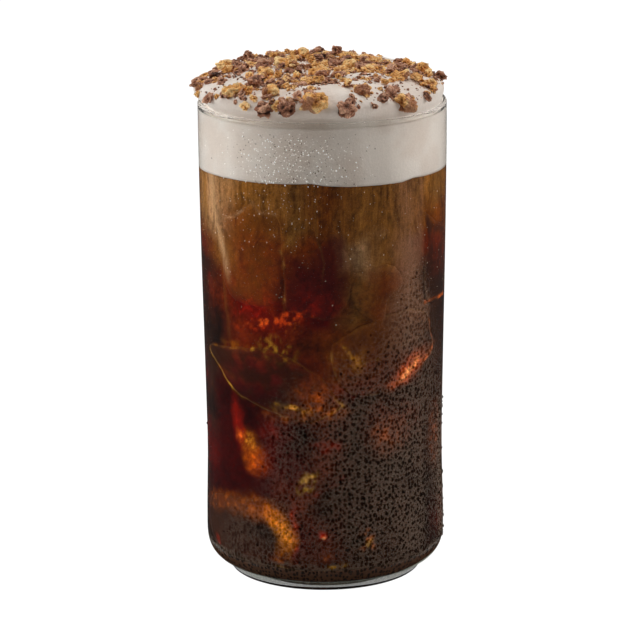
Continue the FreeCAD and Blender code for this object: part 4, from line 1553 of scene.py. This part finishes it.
drops("amber_glow_beads", 250, 701, 0.15, 0.36, over_milk, amber_glow_water)
drops("white_glow_beads", 380, 704, 0.18, 0.42, over_cream, white_glow_water)
drops("dark_beads", 230, 703, 0.2, 0.42, over_cream, dark_water)
drops("water_drops", 1200, 702, 0.5, 1.1, over_mist, dark_water)

# %% [markdown]
# ## Stage, light and camera
# A white floor and two tall soft lights, one on each side, as for a drink on a counter: the
# front is left darker and the sides are bright, which shows that the glass is round. A third
# light from above lifts the crumbs, and two faint strips edge the glass. Floor and world are
# white to the camera, a mid grey through clear glass, nearly black in what a polished face
# mirrors, and a dim brown as a light.

# %% Who sees the background
ROOM = 0.035            # what a polished face mirrors
BEYOND = 0.42           # what is seen through clear glass


def sight_lines(tree):
    """Rays that look at the stage, straight or through clear glass, and rays that a polished
    surface has mirrored. A ray that has met a dull surface carries light and does neither."""
    path = node(tree, "ShaderNodeLightPath")
    fresh = math_node(tree, "LESS_THAN", path.outputs["Diffuse Depth"], 0.5)
    straight = math_node(tree, "LESS_THAN", path.outputs["Glossy Depth"], 0.5)
    through = math_node(tree, "MULTIPLY", path.outputs["Is Transmission Ray"], straight)
    mirrored = math_node(tree, "SUBTRACT", 1.0, straight)
    return (path.outputs["Is Camera Ray"], math_node(tree, "MULTIPLY", through, fresh),
            math_node(tree, "MULTIPLY", mirrored, fresh))


print("mirrored %.3f, through glass %.2f" % (ROOM, BEYOND))

# %% Floor
floor_mesh = bpy.data.meshes.new("floor")
floor_mesh.from_pydata([(-6, -4, 0), (6, -4, 0), (6, 8, 0), (-6, 8, 0)], [], [(0, 1, 2, 3)])
floor = bpy.data.objects.new("floor", floor_mesh)
bpy.context.scene.collection.objects.link(floor)
floor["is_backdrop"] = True
floor_paint, tree, shader = new_material("floor", Base_Color=(0.8, 0.8, 0.8, 1), Roughness=0.9)
seen, through, mirrored = sight_lines(tree)
white = node(tree, "ShaderNodeEmission")
white.inputs["Color"].default_value = (1, 1, 1, 1)
level = math_node(tree, "MULTIPLY", seen, 1.17)
level = math_node(tree, "ADD", level, math_node(tree, "MULTIPLY", through, BEYOND))
level = math_node(tree, "ADD", level, math_node(tree, "MULTIPLY", mirrored, ROOM))
tree.links.new(level, white.inputs["Strength"])
share = math_node(tree, "MAXIMUM", through, mirrored)
share = math_node(tree, "ADD", math_node(tree, "MULTIPLY", seen, 0.86), share, clamp=True)
both = node(tree, "ShaderNodeMixShader")
tree.links.new(share, both.inputs[0])
tree.links.new(shader.outputs[0], both.inputs[1])
tree.links.new(white.outputs[0], both.inputs[2])
tree.links.new(both.outputs[0], tree.nodes["Material Output"].inputs["Surface"])
floor.data.materials.append(floor_paint)
print("floor ready")

# %% World
world = bpy.data.worlds.new("room")
bpy.context.scene.world = world
world.use_nodes = True
tree = world.node_tree
tree.nodes.clear()
seen, through, mirrored = sight_lines(tree)
shown = (0.138, 0.114, 0.09, 1)
for share, colour in ((mirrored, (ROOM, ROOM * 0.95, ROOM * 0.9, 1)),
                      (through, (BEYOND * 0.96, BEYOND, BEYOND * 0.96, 1)), (seen, (1, 1, 1, 1))):
    shown = blended(tree, share, shown, colour)
back = node(tree, "ShaderNodeBackground")
tree.links.new(shown, back.inputs["Color"])
out = node(tree, "ShaderNodeOutputWorld")
tree.links.new(back.outputs[0], out.inputs["Surface"])
print("world ready")

# %% Lights
#   name, turn, distance, height, wide, tall, level, colour, mirrored in polished faces
LAMPS = [
    ("left_panel", -92, 1.2, 0.3, 0.8, 1.2, 0.785, (0.985, 1.0, 0.995), False),
    ("right_panel", 88, 1.2, 0.3, 0.9, 1.2, 0.61, (1.0, 0.985, 0.965), False),
    ("top_panel", 180, 0.25, 1.3, 0.9, 0.9, 0.58, (1.0, 0.985, 0.96), True),
    ("left_strip", -104, 1.2, 0.35, 0.12, 1.2, 0.007, (1, 1, 1), True),
    ("right_strip", 84, 1.2, 0.35, 0.1, 1.2, 0.003, (1, 1, 1), True),
]
AIM = Vector((0, 0, 0.09))


def soft_light(name, turn, distance, height, wide, tall, level, colour, mirrored):
    """A rectangle aimed at the glass; level is the white it gives a surface facing it."""
    lamp = bpy.data.lights.new(name, "AREA")
    lamp.shape = "RECTANGLE"
    lamp.size, lamp.size_y = wide, tall
    lamp.color = colour
    holder = bpy.data.objects.new(name, lamp)
    x, y = toward(turn)
    holder.location = Vector((float(x) * distance, float(y) * distance, height))
    lamp.energy = level * math.pi ** 2 * (holder.location - AIM).length_squared
    holder.rotation_euler = (holder.location - AIM).to_track_quat("Z", "Y").to_euler()
    holder.visible_glossy = mirrored
    bpy.context.scene.collection.objects.link(holder)


for lamp_row in LAMPS:
    soft_light(*lamp_row)
print("lamps:", [lamp_row[0] for lamp_row in LAMPS])

# %% Camera
LENS, TURNED, DIPPED, ROLLED = 201.34, 0.062, 14.895, 0.446       # millimetres, then degrees
camera_data = bpy.data.cameras.new("camera")
camera_data.lens = LENS
camera_data.sensor_width = 36.0
camera = bpy.data.objects.new("camera", camera_data)
bpy.context.scene.collection.objects.link(camera)
pose = (Matrix.Rotation(math.radians(TURNED), 4, "Z") @ Matrix.Rotation(math.radians(90 - DIPPED), 4, "X")
        @ Matrix.Rotation(math.radians(-ROLLED), 4, "Z"))
camera.matrix_world = Matrix.Translation(Vector((0, -1.1, 0.3729))) @ pose
bpy.context.scene.camera = camera
bpy.context.scene.view_settings.view_transform = "Standard"
print("camera at", [round(v, 3) for v in camera.location])

# %% Sizes, and the finish
seen_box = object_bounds()
for label, low_corner, high_corner in (("solids",) + tuple(solid_box), ("dressed",) + tuple(seen_box)):
    print(label, "%.1f x %.1f x %.1f mm" % tuple((b - a) / MM for a, b in zip(low_corner, high_corner)))
